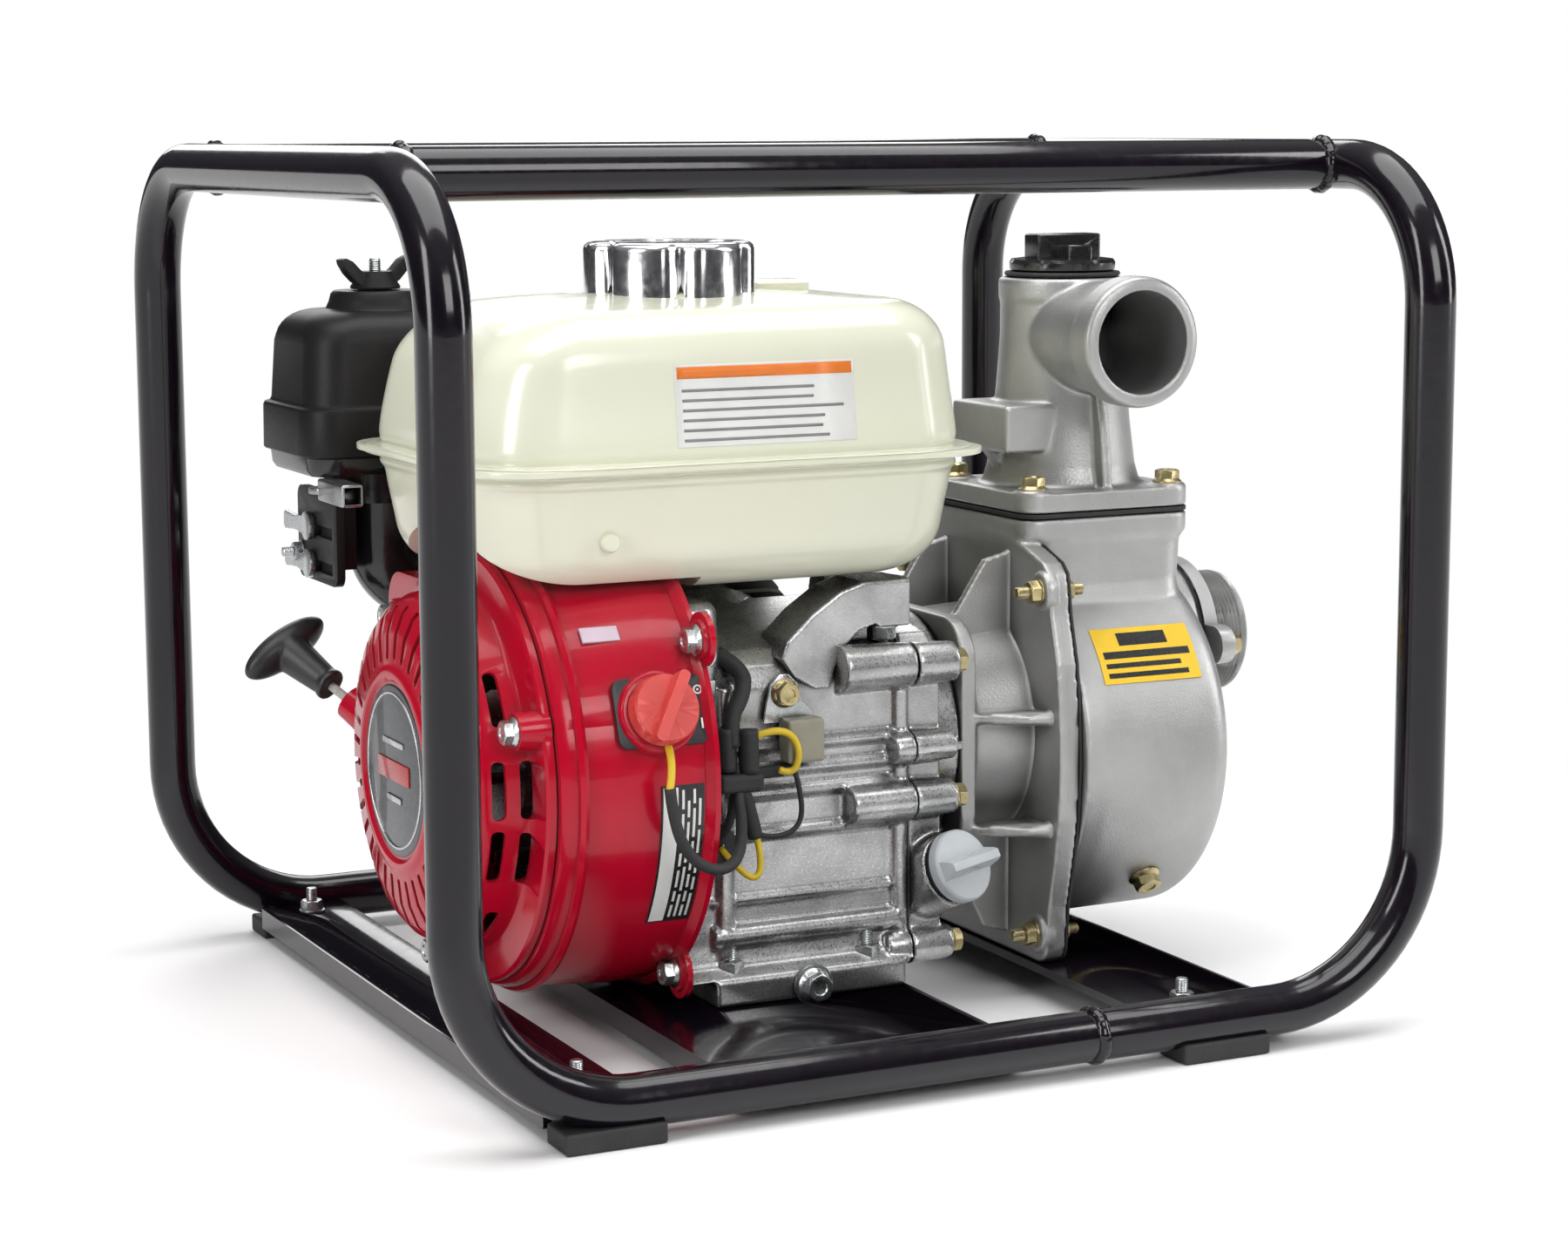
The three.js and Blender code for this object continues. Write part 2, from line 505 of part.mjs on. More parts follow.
// Pump end: bracket, casing, discharge and suction, around the crank axis
function pumpEnd() {
  const group = new THREE.Group();
  const flange = outline([
    [-62, -CRANK_HEIGHT], [-68, -99], [-72, -60], [-80, -CASING_DROP], [-75, 40], [-68, 76], [-62, 81],
    [-24, 91], [24, 91], [62, 81], [68, 76], [75, 40], [80, -CASING_DROP], [72, -60], [68, -99],
    [62, -CRANK_HEIGHT],
  ]);
  const flangeX = BRACKET_END_X - 9;
  const ribs = [-44, 8].flatMap((z) => [
    box([66, flangeX + 1], [-72, -46], [z, z + 4]),
    box([66, flangeX + 1], [46, 72], [z, z + 4]),
  ]);
  const slopes = [
    prism(Y, outline([[66, 46], [flangeX + 1, 46], [flangeX + 1, 82], [98, 82]]), -5, 5),
    prism(Y, outline([[66, -46], [98, -96], [flangeX + 1, -96], [flangeX + 1, -46]]), -5, 5),
  ];
  const pilot = prism(X, roundedRect([-56, 56], [-56, 56], 20), PTO_X + GAP, PTO_X + 8, 0, 4);
  const barrel = rod(X, 54, PTO_X + GAP, flangeX + 1, [0, 0], 22);
  part(
    group,
    "pump_bracket",
    "blasted_aluminium",
    cut(
      join(prism(X, flange, flangeX, BRACKET_END_X), pilot, barrel, ...ribs, ...slopes),
      rod(X, 47, PTO_X - 1, flangeX - 3, [0, 0], 20),
      rod(X, 22.5, 80, BRACKET_END_X + 1, [0, 0], 24),
      box([74, 96], [-20, 20], [-60, -40]),
    ),
  );
  const chamber = rod(X, CASING_R - 6, BRACKET_END_X - 5, CASING_END_X - 7, [0, -CASING_DROP], 26);
  part(
    group,
    "pump_gasket",
    "rubber",
    cut(prism(X, flange, BRACKET_END_X + GAP, BRACKET_END_X + 1.5), chamber),
  );
  const casingX = BRACKET_END_X + 1.5 + GAP;
  const neckTop = 98.5;
  const [nearX, farX] = [DISCHARGE_X - DISCHARGE_HALF, DISCHARGE_X + DISCHARGE_HALF];
  const drum = turned(X, [
    [0, casingX], [CASING_R, casingX], [CASING_R, CASING_END_X - 12], [CASING_R - 4, CASING_END_X - 4],
    [CASING_R - 12, CASING_END_X], [0, CASING_END_X],
  ], 32);
  const loweredDrum = toSolid(toGeometry(drum).translate(0, 0, -CASING_DROP));
  const neck = prism(Z, roundedRect([casingX, farX], [-44, 44], 10), 30, neckTop, 0, 3);
  const neckLip = prism(
    Z,
    roundedRect([nearX, farX], [-DISCHARGE_HALF, DISCHARGE_HALF], 10),
    neckTop - 5,
    neckTop,
    0,
    3,
  );
  const port = [0, SUCTION_RISE];
  const boss = rod(X, 37, CASING_END_X - 8, CASING_END_X + 10, port, 22);
  const bossEars = [-1, 1].map((side) =>
    rod(X, 9, CASING_END_X - 12, CASING_END_X + 10, [side * 43, SUCTION_RISE], 14),
  );
  part(
    group,
    "pump_casing",
    "blasted_aluminium",
    cut(
      join(prism(X, flange, casingX, casingX + 9), loweredDrum, neck, neckLip, boss, ...bossEars),
      chamber,
      prism(Z, roundedRect([DISCHARGE_X - 28, DISCHARGE_X + 28], [-28, 28], 8), 20, neckTop + 1, 0, 3),
      rod(X, 29.5, CASING_END_X - 12, CASING_END_X + 11, port, 20),
    ),
  );
  const square = roundedRect([nearX, farX], [-DISCHARGE_HALF, DISCHARGE_HALF], 10);
  const gasketTop = neckTop + GAP + 2;
  part(
    group,
    "discharge_gasket",
    "rubber",
    cut(prism(Z, square, neckTop + GAP, gasketTop, 0, 3), rod(Z, 29, neckTop, 110, [DISCHARGE_X, 0], 20)),
  );
  const flangeZ = gasketTop + GAP;
  const rimZ = 208;
  const riser = turned(Z, [
    [0, flangeZ], [42, flangeZ + 8], [38, flangeZ + 13], [36, flangeZ + 40], [31, 176], [27.5, 194],
    [27.5, 198], [30, 199], [30, rimZ], [0, rimZ],
  ], 20);
  const placedRiser = toSolid(toGeometry(riser).translate(DISCHARGE_X, 0, 0));
  const branch = join(
    rod(Y, 26.5, -OUTLET_REACH + 5, 0, [DISCHARGE_X, OUTLET_RISE], 20),
    rod(Y, PORT_R, -OUTLET_REACH, -OUTLET_REACH + 13, [DISCHARGE_X, OUTLET_RISE], 20),
    toSolid(new THREE.SphereGeometry(31, 16, 10).translate(DISCHARGE_X, -10, OUTLET_RISE - 8)),
  );
  const lug = box([DISCHARGE_X - 45, DISCHARGE_X - 20], [-26, 26], [128, 150]);
  part(
    group,
    "discharge_elbow",
    "blasted_aluminium",
    cut(
      join(prism(Z, square, flangeZ, flangeZ + 9.5, 1, 3), placedRiser, branch, lug),
      rod(Z, PORT_BORE_R, flangeZ - 1, rimZ + 1, [DISCHARGE_X, 0], 22),
      rod(Y, PORT_BORE_R - 1, -OUTLET_REACH - 1, 0, [DISCHARGE_X, OUTLET_RISE], 22),
    ),
  );
  part(group, "priming_plug_seal", "rubber", ring(Z, 26, 20.6, rimZ + GAP, rimZ + 2.3, [DISCHARGE_X, 0], 20));
  part(
    group,
    "priming_plug",
    "black_plastic",
    join(
      rod(Z, 20, rimZ - 12, rimZ + 3, [DISCHARGE_X, 0], 24),
      rod(Z, 24.5, rimZ + 2.6, rimZ + 6, [DISCHARGE_X, 0], 20),
      prism(X, roundedRect([-7, 7], [rimZ + 5, rimZ + 20], 3), DISCHARGE_X - 17, DISCHARGE_X + 17, 2, 3),
    ),
  );
  const suctionX = CASING_END_X + 13;
  const ears = [-1, 1].map((side) =>
    rod(X, 9, suctionX, suctionX + 8, [side * 43, SUCTION_RISE], 14),
  );
  const bridge = box([suctionX, suctionX + 8], [-43, 43], [SUCTION_RISE - 9, SUCTION_RISE + 9]);
  part(
    group,
    "suction_flange",
    "blasted_aluminium",
    cut(
      join(
        rod(X, 37, suctionX, suctionX + 8, port, 22),
        rod(X, PORT_R, suctionX + 7, SUCTION_END_X, port, 22),
        bridge,
        ...ears,
      ),
      rod(X, PORT_BORE_R, suctionX - 1, SUCTION_END_X + 1, port, 20),
    ),
  );
  const gasketX = CASING_END_X + 10 + GAP;
  part(group, "suction_gasket", "rubber", ring(X, 36.5, 29.5, gasketX, suctionX - GAP, port, 20));
  const flapX = suctionX - GAP;
  const pinZ = SUCTION_RISE + 23.5;
  part(
    group,
    "check_valve_flap",
    "rubber",
    join(
      cut(
        rod(X, 26.5, flapX - 3, flapX, [0, SUCTION_RISE - 0.5], 24),
        box([flapX - 4, flapX + 1], [-30, 30], [pinZ, pinZ + 10]),
      ),
      rod(X, 16, flapX - 7, flapX - 2.5, [0, SUCTION_RISE - 0.5], 20),
      rod(Y, 2, -12, 12, [flapX - 2, pinZ], 10),
    ),
  );
  part(
    group,
    "volute",
    "cast_iron",
    cut(
      turned(X, [
        [56, casingX + 4], [62, casingX + 4], [62, 156], [22, 156], [22, 151], [56, 151], [56, casingX + 4],
      ]),
      box([casingX, 150], [-24, 24], [40, 70]),
    ),
  );
  part(group, "mechanical_seal", "steel", ring(X, 21.9, 10, 100, BRACKET_END_X - 1, [0, 0], 24));
  const oilSeal = aimed(ring(Z, 15, 10.8, 0, 2, [0, 0], 20), OIL_FILLER.axis, OIL_FILLER.at);
  part(group, "oil_cap_seal", "rubber", oilSeal);
  const oilCap = join(
    rod(Z, 10.5, -14, 3, [0, 0], 16),
    rod(Z, 16.5, 2.3, 9, [0, 0], 24),
    prism(X, roundedRect([-4, 4], [8, 17], 2.5), -15, 15, 1.5, 3),
  );
  part(group, "oil_filler_cap", "grey_plastic", aimed(oilCap, OIL_FILLER.axis, OIL_FILLER.at));
  return group;
}

// Fuel tank pressed from two shells, its cap, and the arm that carries it
function fuelTank() {
  const group = new THREE.Group();
  const [nearY, farY] = TANK_Y;
  // The side view of a shell, cut back at the corners of the plan and along the upper and lower edges.
  const rounded = (side, t) =>
    prism(Y, side, nearY + t, farY - t)
      .intersect(prism(Z, roundedRect([-171 + t, 64 - t], [nearY + t, farY - t], 38 - t), 150, 360, 0, 6))
      .intersect(prism(X, roundedRect([nearY + t, farY - t], [200 + t, 329 - t], 30 - t), -180, 76, 0, 6));
  const upper = (t) => outline([
    [-171 + t, SEAM_Z - 10], [-171 + t, SEAM_Z + 4], [-160 + t, 300], [-146 + t, 315 - t], [-120, 322 - t],
    [-70, 328 - t], [26, 327 - t], [42 - t, 317 - t], [56 - t, 292], [64 - t, SEAM_Z + 4],
    [64 - t, SEAM_Z - 10],
  ]);
  const lower = (t) => outline([
    [-171 + t, SEAM_Z + 10], [-171 + t, SEAM_Z - 6], [-166 + t, 236], [-150, 218 + t], [-120, 206 + t],
    [-60, 201 + t], [36, 202 + t], [54 - t, 214 + t], [64 - t, SEAM_Z - 6], [64 - t, SEAM_Z + 10],
  ]);
  const flangeShape = roundedRect([-179, 72], [nearY - 7, farY + 7], 26);
  const saddle = (t) => rod(X, SHROUD_R + 4.5 + t, -200, -70, [CRANK_Y, CRANK_Z], 32);
  const above = box([-200, 100], [-150, 150], [SEAM_Z + GAP / 2, 400]);
  const below = box([-200, 100], [-150, 150], [150, SEAM_Z - GAP / 2]);
  const neck = rod(Z, 26, 310, 336, [CAP_X, CAP_Y], 20);
  const pad = prism(Z, roundedRect([0, 28], [-6, 22], 8), 318, 331, 0, 3);
  const topShell = cut(
    join(
      rounded(upper(0), 0).intersect(above),
      prism(Z, flangeShape, SEAM_Z + GAP / 2, SEAM_Z + 2.2, 0, 6),
      neck,
      pad.intersect(box([-200, 26], [-150, 150], [300, 400])),
    ),
    rounded(upper(TANK_T), TANK_T),
    rod(Z, 22, 300, 340, [CAP_X, CAP_Y], 20),
  );
  part(group, "fuel_tank_upper", "tank_white", topShell);
  const bottomShell = cut(
    join(
      rounded(lower(0), 0).intersect(below),
      prism(Z, flangeShape, SEAM_Z - 2.2, SEAM_Z - GAP / 2, 0, 6),
    ),
    cut(rounded(lower(TANK_T), TANK_T), saddle(TANK_T)),
    saddle(0),
  );
  part(group, "fuel_tank_lower", "tank_white", bottomShell);
  part(group, "fuel_cap_gasket", "rubber", ring(Z, 25.5, 20, 336 + GAP, 338.3, [CAP_X, CAP_Y], 20));
  const capShape = new THREE.Shape();
  const lobes = 6;
  const turns = 36;
  for (let i = 0; i < turns; i++) {
    const angle = (i * 2 * Math.PI) / turns;
    const radius = 39 - 2.2 * Math.abs(Math.cos((lobes * angle) / 2)) ** 3;
    capShape[i ? "lineTo" : "moveTo"](radius * Math.cos(angle), radius * Math.sin(angle));
  }
  const capBody = join(
    prism(Z, capShape, 333, 350, 3),
    rod(Z, 42, 331.5, 335, [0, 0], 24),
    rod(Z, 19.5, 318, 340, [0, 0], 20),
  );
  const capRoom = ring(Z, 36, 19.5, 330, 338.6, [0, 0], 22);
  const cap = toSolid(toGeometry(cut(capBody, capRoom)).translate(CAP_X, CAP_Y, 0));
  part(group, "fuel_cap", "chrome", cap);
  const arm = join(
    prism(X, outline([[-76, 179.5], [-52, 179.5], [-46, 200.6], [-76, 200.6], [-82, 192]]), 18, 34),
    prism(Y, outline([[-34, 179.5], [-16, 179.5], [24, 190], [24, 200.6]]), -72, -58),
  );
  part(group, "tank_bracket", "cast_aluminium", arm);
  const hose = [[-96, farY + GAP, 224], [-96, 92, 224], [-96, 92, 186], [-96, 100.6, 186]];
  part(group, "fuel_hose", "rubber", tube(hose, [8, 8], 3.5, 8, 4));
  return group;
}

// Intake, exhaust and the controls on the far side
function intakeAndExhaust() {
  const group = new THREE.Group();
  part(
    group,
    "carburettor",
    "cast_aluminium",
    join(
      rod(X, 15, -116, -83, [116, 184], 20),
      box([-116, -83], [104, 128], [172, 196]),
      rod(Z, 16, 146, 173, [-100, 116], 20),
    ),
  );
  const elbow = tube([[-116.4, 116, 184], [-146, 116, 184], [-146, 116, 243]], [22], 17, 16, 6);
  const tray = prism(Z, roundedRect([-188, -84], [88, 171], 14), 240, 252, 3, 3);
  const elbowBore = tube([[-110, 116, 184], [-146, 116, 184], [-146, 116, 256]], [22], 13.5, 12, 6);
  part(group, "air_cleaner_base", "black_plastic", cut(join(elbow, tray), elbowBore));
  const cover = cut(
    join(
      prism(Z, roundedRect([-190, -82], [86, 173], 20), 246, 318, 7, 4),
      rod(Z, 20, 312, 325, [-142, 128], 24, 17),
    ),
    prism(Z, roundedRect([-188.4, -83.6], [87.6, 171.4], 16), 240, 252.4, 0, 4),
    prism(Z, roundedRect([-187, -85], [89, 170], 17), 252, 312, 0, 4),
  );
  part(group, "air_cleaner_cover", "black_plastic", cover);
  part(group, "air_filter_element", "filter_foam", ring(Z, 36, 24, 253, 306, [-140, 129], 24));
  const wings = outline([
    [104, 336], [108, 340], [122, 331], [134, 331], [148, 340], [152, 336], [136, 326], [120, 326],
  ]);
  const wingNut = join(rod(Z, 8, 325.3, 332, [-142, 128], 16), prism(X, wings, -144.5, -139.5));
  part(group, "air_cleaner_wing_nut", "black_plastic", wingNut);
  part(
    group,
    "control_panel",
    "black_plastic",
    join(
      prism(X, roundedRect([92, 150], [188, 232], 6), -176, -172, 1, 3),
      box([-173, -165], [96, 104], [196, 230]),
      box([-173, -165], [138, 143], [192, 230]),
    ),
  );
  const blade = (pivotY, pivotZ) =>
    join(
      rod(X, 7, -180, -176.3, [pivotY, pivotZ], 16),
      box([-179.5, -177], [pivotY, pivotY + 34], [pivotZ - 4, pivotZ + 4]),
    );
  part(group, "choke_lever", "steel", blade(128, 214));
  part(group, "fuel_valve_lever", "steel", blade(128, 196));
  part(
    group,
    "throttle_lever",
    "steel",
    join(rod(Z, 8, 232.3, 235, [-178, 100], 16), box([-182.5, -173.5], [62, 100], [232.5, 235])),
  );
  const silencer = prism(X, roundedRect([86, 166], [236, 306], 22), -44, 72, 8, 4);
  const pipe = tube([[30.6, 118, 190], [50, 118, 190], [50, 118, 240]], [14], 11, 12, 4);
  const tail = rod(Y, 9, 150, 178, [52, 262], 14);
  const tailBore = rod(Y, 6.5, 160, 180, [52, 262], 12);
  part(group, "muffler", "dark_steel", cut(join(silencer, pipe, tail), tailBore));
  const guard = cut(
    prism(X, roundedRect([83, 171], [244, 312], 24), -48, 76, 4, 4),
    prism(X, roundedRect([85, 169], [230, 309], 22), -46, 74, 4, 4),
    box([-60, 90], [70, 180], [220, 262]),
    rod(Y, 10.5, 150, 180, [52, 262], 14),
  );
  const slots = [-30, -12, 6, 24, 42].map((x) => box([x, x + 10], [164, 174], [270, 296]));
  part(group, "muffler_guard", "dark_steel", cut(guard, ...slots));
  return group;
}

// Insulated wires clipped along the crankcase
function wiring() {
  const group = new THREE.Group();
  const lead = [[-104, -125, 141], [-104, -134, 128], [-78, -137, 106], [-44, -114, 112], [-44, -91, 132]];
  part(group, "switch_wire", "yellow_wire", tube(lead, [8, 24, 20], 1.8, 8, 4));
  const spark = [[-79.9, 73, 94], [-64, 73, 94], [-58, 130, 96], [46, 136, 104], [46, 149, 150]];
  part(group, "ignition_lead", "rubber", tube(spark, [8, 14, 14], 3.5, 8, 4));
  return group;
}

const group = new THREE.Group();
group.name = "engine_water_pump";
const onCrankAxis = new THREE.Group();
onCrankAxis.position.set(0, CRANK_Y, CRANK_Z);
onCrankAxis.add(engineBlock(), rotor(), coolingAndStarter(), pumpEnd());
group.add(frameGroup(), onCrankAxis, fuelTank(), intakeAndExhaust(), wiring());

export default group;
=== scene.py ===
import bpy
import json
import math
import random
from mathutils import Euler, Matrix, Vector


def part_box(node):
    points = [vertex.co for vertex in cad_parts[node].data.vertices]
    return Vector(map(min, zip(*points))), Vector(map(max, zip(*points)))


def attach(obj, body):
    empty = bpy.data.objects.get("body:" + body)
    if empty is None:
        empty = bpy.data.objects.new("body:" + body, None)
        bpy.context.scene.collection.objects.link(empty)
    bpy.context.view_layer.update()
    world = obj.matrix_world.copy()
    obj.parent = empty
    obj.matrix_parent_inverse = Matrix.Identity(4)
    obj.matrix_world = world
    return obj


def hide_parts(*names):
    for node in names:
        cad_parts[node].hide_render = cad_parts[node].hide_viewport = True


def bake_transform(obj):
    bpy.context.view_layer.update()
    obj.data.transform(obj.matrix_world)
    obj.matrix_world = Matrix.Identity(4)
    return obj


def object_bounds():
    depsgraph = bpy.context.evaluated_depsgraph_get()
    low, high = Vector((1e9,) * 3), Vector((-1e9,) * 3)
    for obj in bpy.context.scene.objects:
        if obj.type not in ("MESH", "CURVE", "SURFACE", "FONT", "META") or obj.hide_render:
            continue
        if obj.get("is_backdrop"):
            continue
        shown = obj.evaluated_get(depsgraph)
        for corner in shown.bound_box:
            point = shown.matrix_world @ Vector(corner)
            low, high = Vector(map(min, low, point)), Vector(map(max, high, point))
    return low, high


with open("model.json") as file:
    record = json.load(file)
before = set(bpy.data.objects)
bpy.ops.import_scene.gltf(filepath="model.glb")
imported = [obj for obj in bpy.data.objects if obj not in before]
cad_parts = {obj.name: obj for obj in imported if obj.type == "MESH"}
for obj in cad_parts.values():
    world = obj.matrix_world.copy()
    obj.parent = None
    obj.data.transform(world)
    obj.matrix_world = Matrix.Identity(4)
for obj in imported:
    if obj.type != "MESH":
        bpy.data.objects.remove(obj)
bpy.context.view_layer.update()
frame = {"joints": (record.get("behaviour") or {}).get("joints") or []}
X, Y, Z = Vector((1, 0, 0)), Vector((0, 1, 0)), Vector((0, 0, 1))
joints = {joint["name"]: joint for joint in frame["joints"]}
crank = Vector(joints["crank_spin"]["pos_m"])


# Camera, floor and light
# A long lens a little above the pump, looking at its engine-switch side from the starter end. The floor and
# the light are those of a plain white studio: one large soft box overhead, one at each side, and a pale
# surround.
bpy.ops.object.select_all(action="DESELECT")
camera_turn = Euler((math.pi / 2 - 0.148, 0.004, -0.453), "XYZ")
bpy.ops.object.camera_add(location=(-0.6617, -1.3837, 0.4022), rotation=camera_turn)
camera = bpy.context.object
camera.name = "camera"
camera.data.lens = 76.45
camera.data.sensor_width = 36
camera.data.clip_start = 0.05
bpy.context.scene.camera = camera
bpy.context.scene.view_settings.view_transform = "Standard"

bpy.ops.mesh.primitive_plane_add(size=60, location=(0, 0, 0))
floor = bpy.context.object
floor.name = "floor"
backdrop_white = (1, 1, 1, 1)
floor_paint = bpy.data.materials.new("pale_floor")
floor_paint.use_nodes = True
paint_tree = floor_paint.node_tree
paint = paint_tree.nodes["Principled BSDF"]
paint.inputs["Base Color"].default_value = (0.88, 0.88, 0.88, 1)
paint.inputs["Roughness"].default_value = 0.6
glow = paint_tree.nodes.new("ShaderNodeEmission")
glow.inputs["Color"].default_value = backdrop_white
spot = paint_tree.nodes.new("ShaderNodeTexCoord")
distance = paint_tree.nodes.new("ShaderNodeVectorMath")
distance.operation = "LENGTH"
fade = paint_tree.nodes.new("ShaderNodeMapRange")
fade.interpolation_type = "SMOOTHSTEP"
fade.inputs["From Min"].default_value = 0.28
fade.inputs["From Max"].default_value = 0.75
blend_floor = paint_tree.nodes.new("ShaderNodeMixShader")
paint_tree.links.new(spot.outputs["Object"], distance.inputs[0])
paint_tree.links.new(distance.outputs["Value"], fade.inputs["Value"])
paint_tree.links.new(fade.outputs["Result"], blend_floor.inputs[0])
paint_tree.links.new(paint.outputs[0], blend_floor.inputs[1])
paint_tree.links.new(glow.outputs[0], blend_floor.inputs[2])
paint_tree.links.new(blend_floor.outputs[0], paint_tree.nodes["Material Output"].inputs["Surface"])
floor.data.materials.append(floor_paint)
floor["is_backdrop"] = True

# The surround is white to the eye, and gives the pump a pale ceiling that darkens towards the horizon.
surround = bpy.data.worlds.new("studio")
surround.use_nodes = True
sky = surround.node_tree
seen = sky.nodes["Background"]
seen.inputs["Color"].default_value = backdrop_white
lit = sky.nodes.new("ShaderNodeBackground")
heading = sky.nodes.new("ShaderNodeTexCoord")
height = sky.nodes.new("ShaderNodeSeparateXYZ")
ceiling = sky.nodes.new("ShaderNodeValToRGB")
ceiling.color_ramp.elements[0].position = 0.0
ceiling.color_ramp.elements[0].color = (0.035, 0.035, 0.04, 1)
ceiling.color_ramp.elements[1].position = 1.0
ceiling.color_ramp.elements[1].color = (0.46, 0.46, 0.47, 1)
middle = ceiling.color_ramp.elements.new(0.35)
middle.color = (0.09, 0.09, 0.095, 1)
path = sky.nodes.new("ShaderNodeLightPath")
which = sky.nodes.new("ShaderNodeMixShader")
sky.links.new(heading.outputs["Generated"], height.inputs[0])
sky.links.new(height.outputs["Z"], ceiling.inputs[0])
sky.links.new(ceiling.outputs[0], lit.inputs["Color"])
sky.links.new(path.outputs["Is Camera Ray"], which.inputs[0])
sky.links.new(lit.outputs[0], which.inputs[1])
sky.links.new(seen.outputs[0], which.inputs[2])
sky.links.new(which.outputs[0], sky.nodes["World Output"].inputs["Surface"])
bpy.context.scene.world = surround


def soft_box(name, place, aim, width, height, power):
    turn = (Vector(aim) - Vector(place)).to_track_quat("-Z", "Y").to_euler()
    bpy.ops.object.light_add(type="AREA", location=place, rotation=turn)
    box_light = bpy.context.object
    box_light.name = name
    box_light.data.shape = "RECTANGLE"
    box_light.data.size = width
    box_light.data.size_y = height
    box_light.data.energy = power


soft_box("overhead_box", (0.0, -0.1, 1.8), (0, 0, 0.2), 2.0, 1.4, 34)
soft_box("left_box", (-1.9, -0.7, 0.95), (0, 0, 0.2), 0.5, 1.5, 19)
soft_box("front_box", (0.2, -2.2, 1.25), (0, 0, 0.2), 1.1, 0.9, 19)
soft_box("right_box", (1.9, -1.0, 1.0), (0, 0, 0.2), 0.5, 1.5, 17)
soft_box("back_box", (0.6, 2.2, 1.3), (0, 0, 0.25), 1.6, 1.2, 18)


# Carrying frame
# Two hoops of 7/8 inch steel tube, bent round formers and butt-welded under the pump, tied by two top rails
# and three pressed cross plates. All of it is sprayed with gloss black enamel after welding.
def only(piece):
    bpy.ops.object.select_all(action="DESELECT")
    piece.select_set(True)
    bpy.context.view_layer.objects.active = piece


def settled(name):
    """The piece that was just added, named, with its place in its mesh."""
    piece = bpy.context.object
    piece.name = piece.data.name = name
    only(piece)
    bpy.ops.object.transform_apply(location=True, rotation=True, scale=True)
    return piece


def facing(direction):
    """The turn that points a primitive's own +Z along a direction."""
    return Vector(direction).to_track_quat("Z", "Y").to_euler()


def bent_tube(name, start, heading, radius, moves, sides=32, steps=18):
    """A disc pulled along each run, a length, and spun round each bend: (towards, radius, angle)."""
    at, heading = Vector(start), Vector(heading).normalized()
    bpy.ops.object.select_all(action="DESELECT")
    bpy.ops.mesh.primitive_circle_add(
        vertices=sides, radius=radius, fill_type="NGON", location=at, rotation=facing(-heading)
    )
    piece = settled(name)
    bpy.ops.object.mode_set(mode="EDIT")
    bpy.ops.mesh.select_all(action="SELECT")
    for move in moves:
        if isinstance(move, tuple):
            towards, bend_radius, angle = move
            axis = heading.cross(towards).normalized()
            centre = at + Vector(towards) * bend_radius
            bpy.ops.mesh.spin(steps=steps, angle=-angle, center=centre, axis=axis)
            turn = Matrix.Rotation(angle, 3, axis)
            at = centre + turn @ (at - centre)
            heading = turn @ heading
        else:
            bpy.ops.mesh.extrude_region_move(TRANSFORM_OT_translate={"value": heading * move})
            at = at + heading * move
    bpy.ops.object.mode_set(mode="OBJECT")
    return piece


def merged(piece, gap=1e-6):
    """Joins points that lie on each other, and turns every face outwards."""
    only(piece)
    bpy.ops.object.mode_set(mode="EDIT")
    bpy.ops.mesh.select_all(action="SELECT")
    bpy.ops.mesh.remove_doubles(threshold=gap)
    bpy.ops.mesh.normals_make_consistent(inside=False)
    bpy.ops.object.mode_set(mode="OBJECT")
    return piece


def modified(piece, kind, **settings):
    """Adds a modifier with its settings, and applies it."""
    only(piece)
    bpy.ops.object.modifier_add(type=kind)
    modifier = piece.modifiers[-1]
    for setting, value in settings.items():
        setattr(modifier, setting, value)
    bpy.ops.object.modifier_apply(modifier=modifier.name)
    return piece


def eased(piece, width, segments=3, angle=32):
    """Rounds every sharp edge, and smooths the shading between the faces that are left."""
    modified(piece, "BEVEL", width=width, segments=segments, limit_method="ANGLE",
             angle_limit=math.radians(angle))
    only(piece)
    bpy.ops.object.shade_smooth_by_angle(angle=math.radians(angle))
    return piece


def joined(name, *pieces):
    only(pieces[0])
    for piece in pieces[1:]:
        piece.select_set(True)
    bpy.ops.object.join()
    pieces[0].name = pieces[0].data.name = name
    return pieces[0]


def fitted(piece, finish, body, slot, *stands_for):
    """Gives a finished piece its material and its body, and hides the nodes that it stands for. The slot is
    not used.
    """
    piece.data.materials.clear()
    piece.data.materials.append(finish)
    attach(piece, body)
    if stands_for:
        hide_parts(*stands_for)
    return piece


def node_group(name, inputs, outputs):
    """An empty shader group with named sockets: (kind, name, value) going in and (kind, name) coming out."""
    group = bpy.data.node_groups.new(name, "ShaderNodeTree")
    for kind, title, value in inputs:
        socket = group.interface.new_socket(name=title, in_out="INPUT", socket_type="NodeSocket" + kind)
        socket.default_value = value
    for kind, title in outputs:
        group.interface.new_socket(name=title, in_out="OUTPUT", socket_type="NodeSocket" + kind)
    return group, group.nodes.new("NodeGroupInput"), group.nodes.new("NodeGroupOutput")


def node(tree, kind, values=(), **settings):
    """A shader node with its settings and its input values, by socket name or number."""
    made = tree.nodes.new("ShaderNode" + kind)
    for setting, value in settings.items():
        setattr(made, setting, value)
    for socket, value in dict(values).items():
        made.inputs[socket].default_value = value
    return made


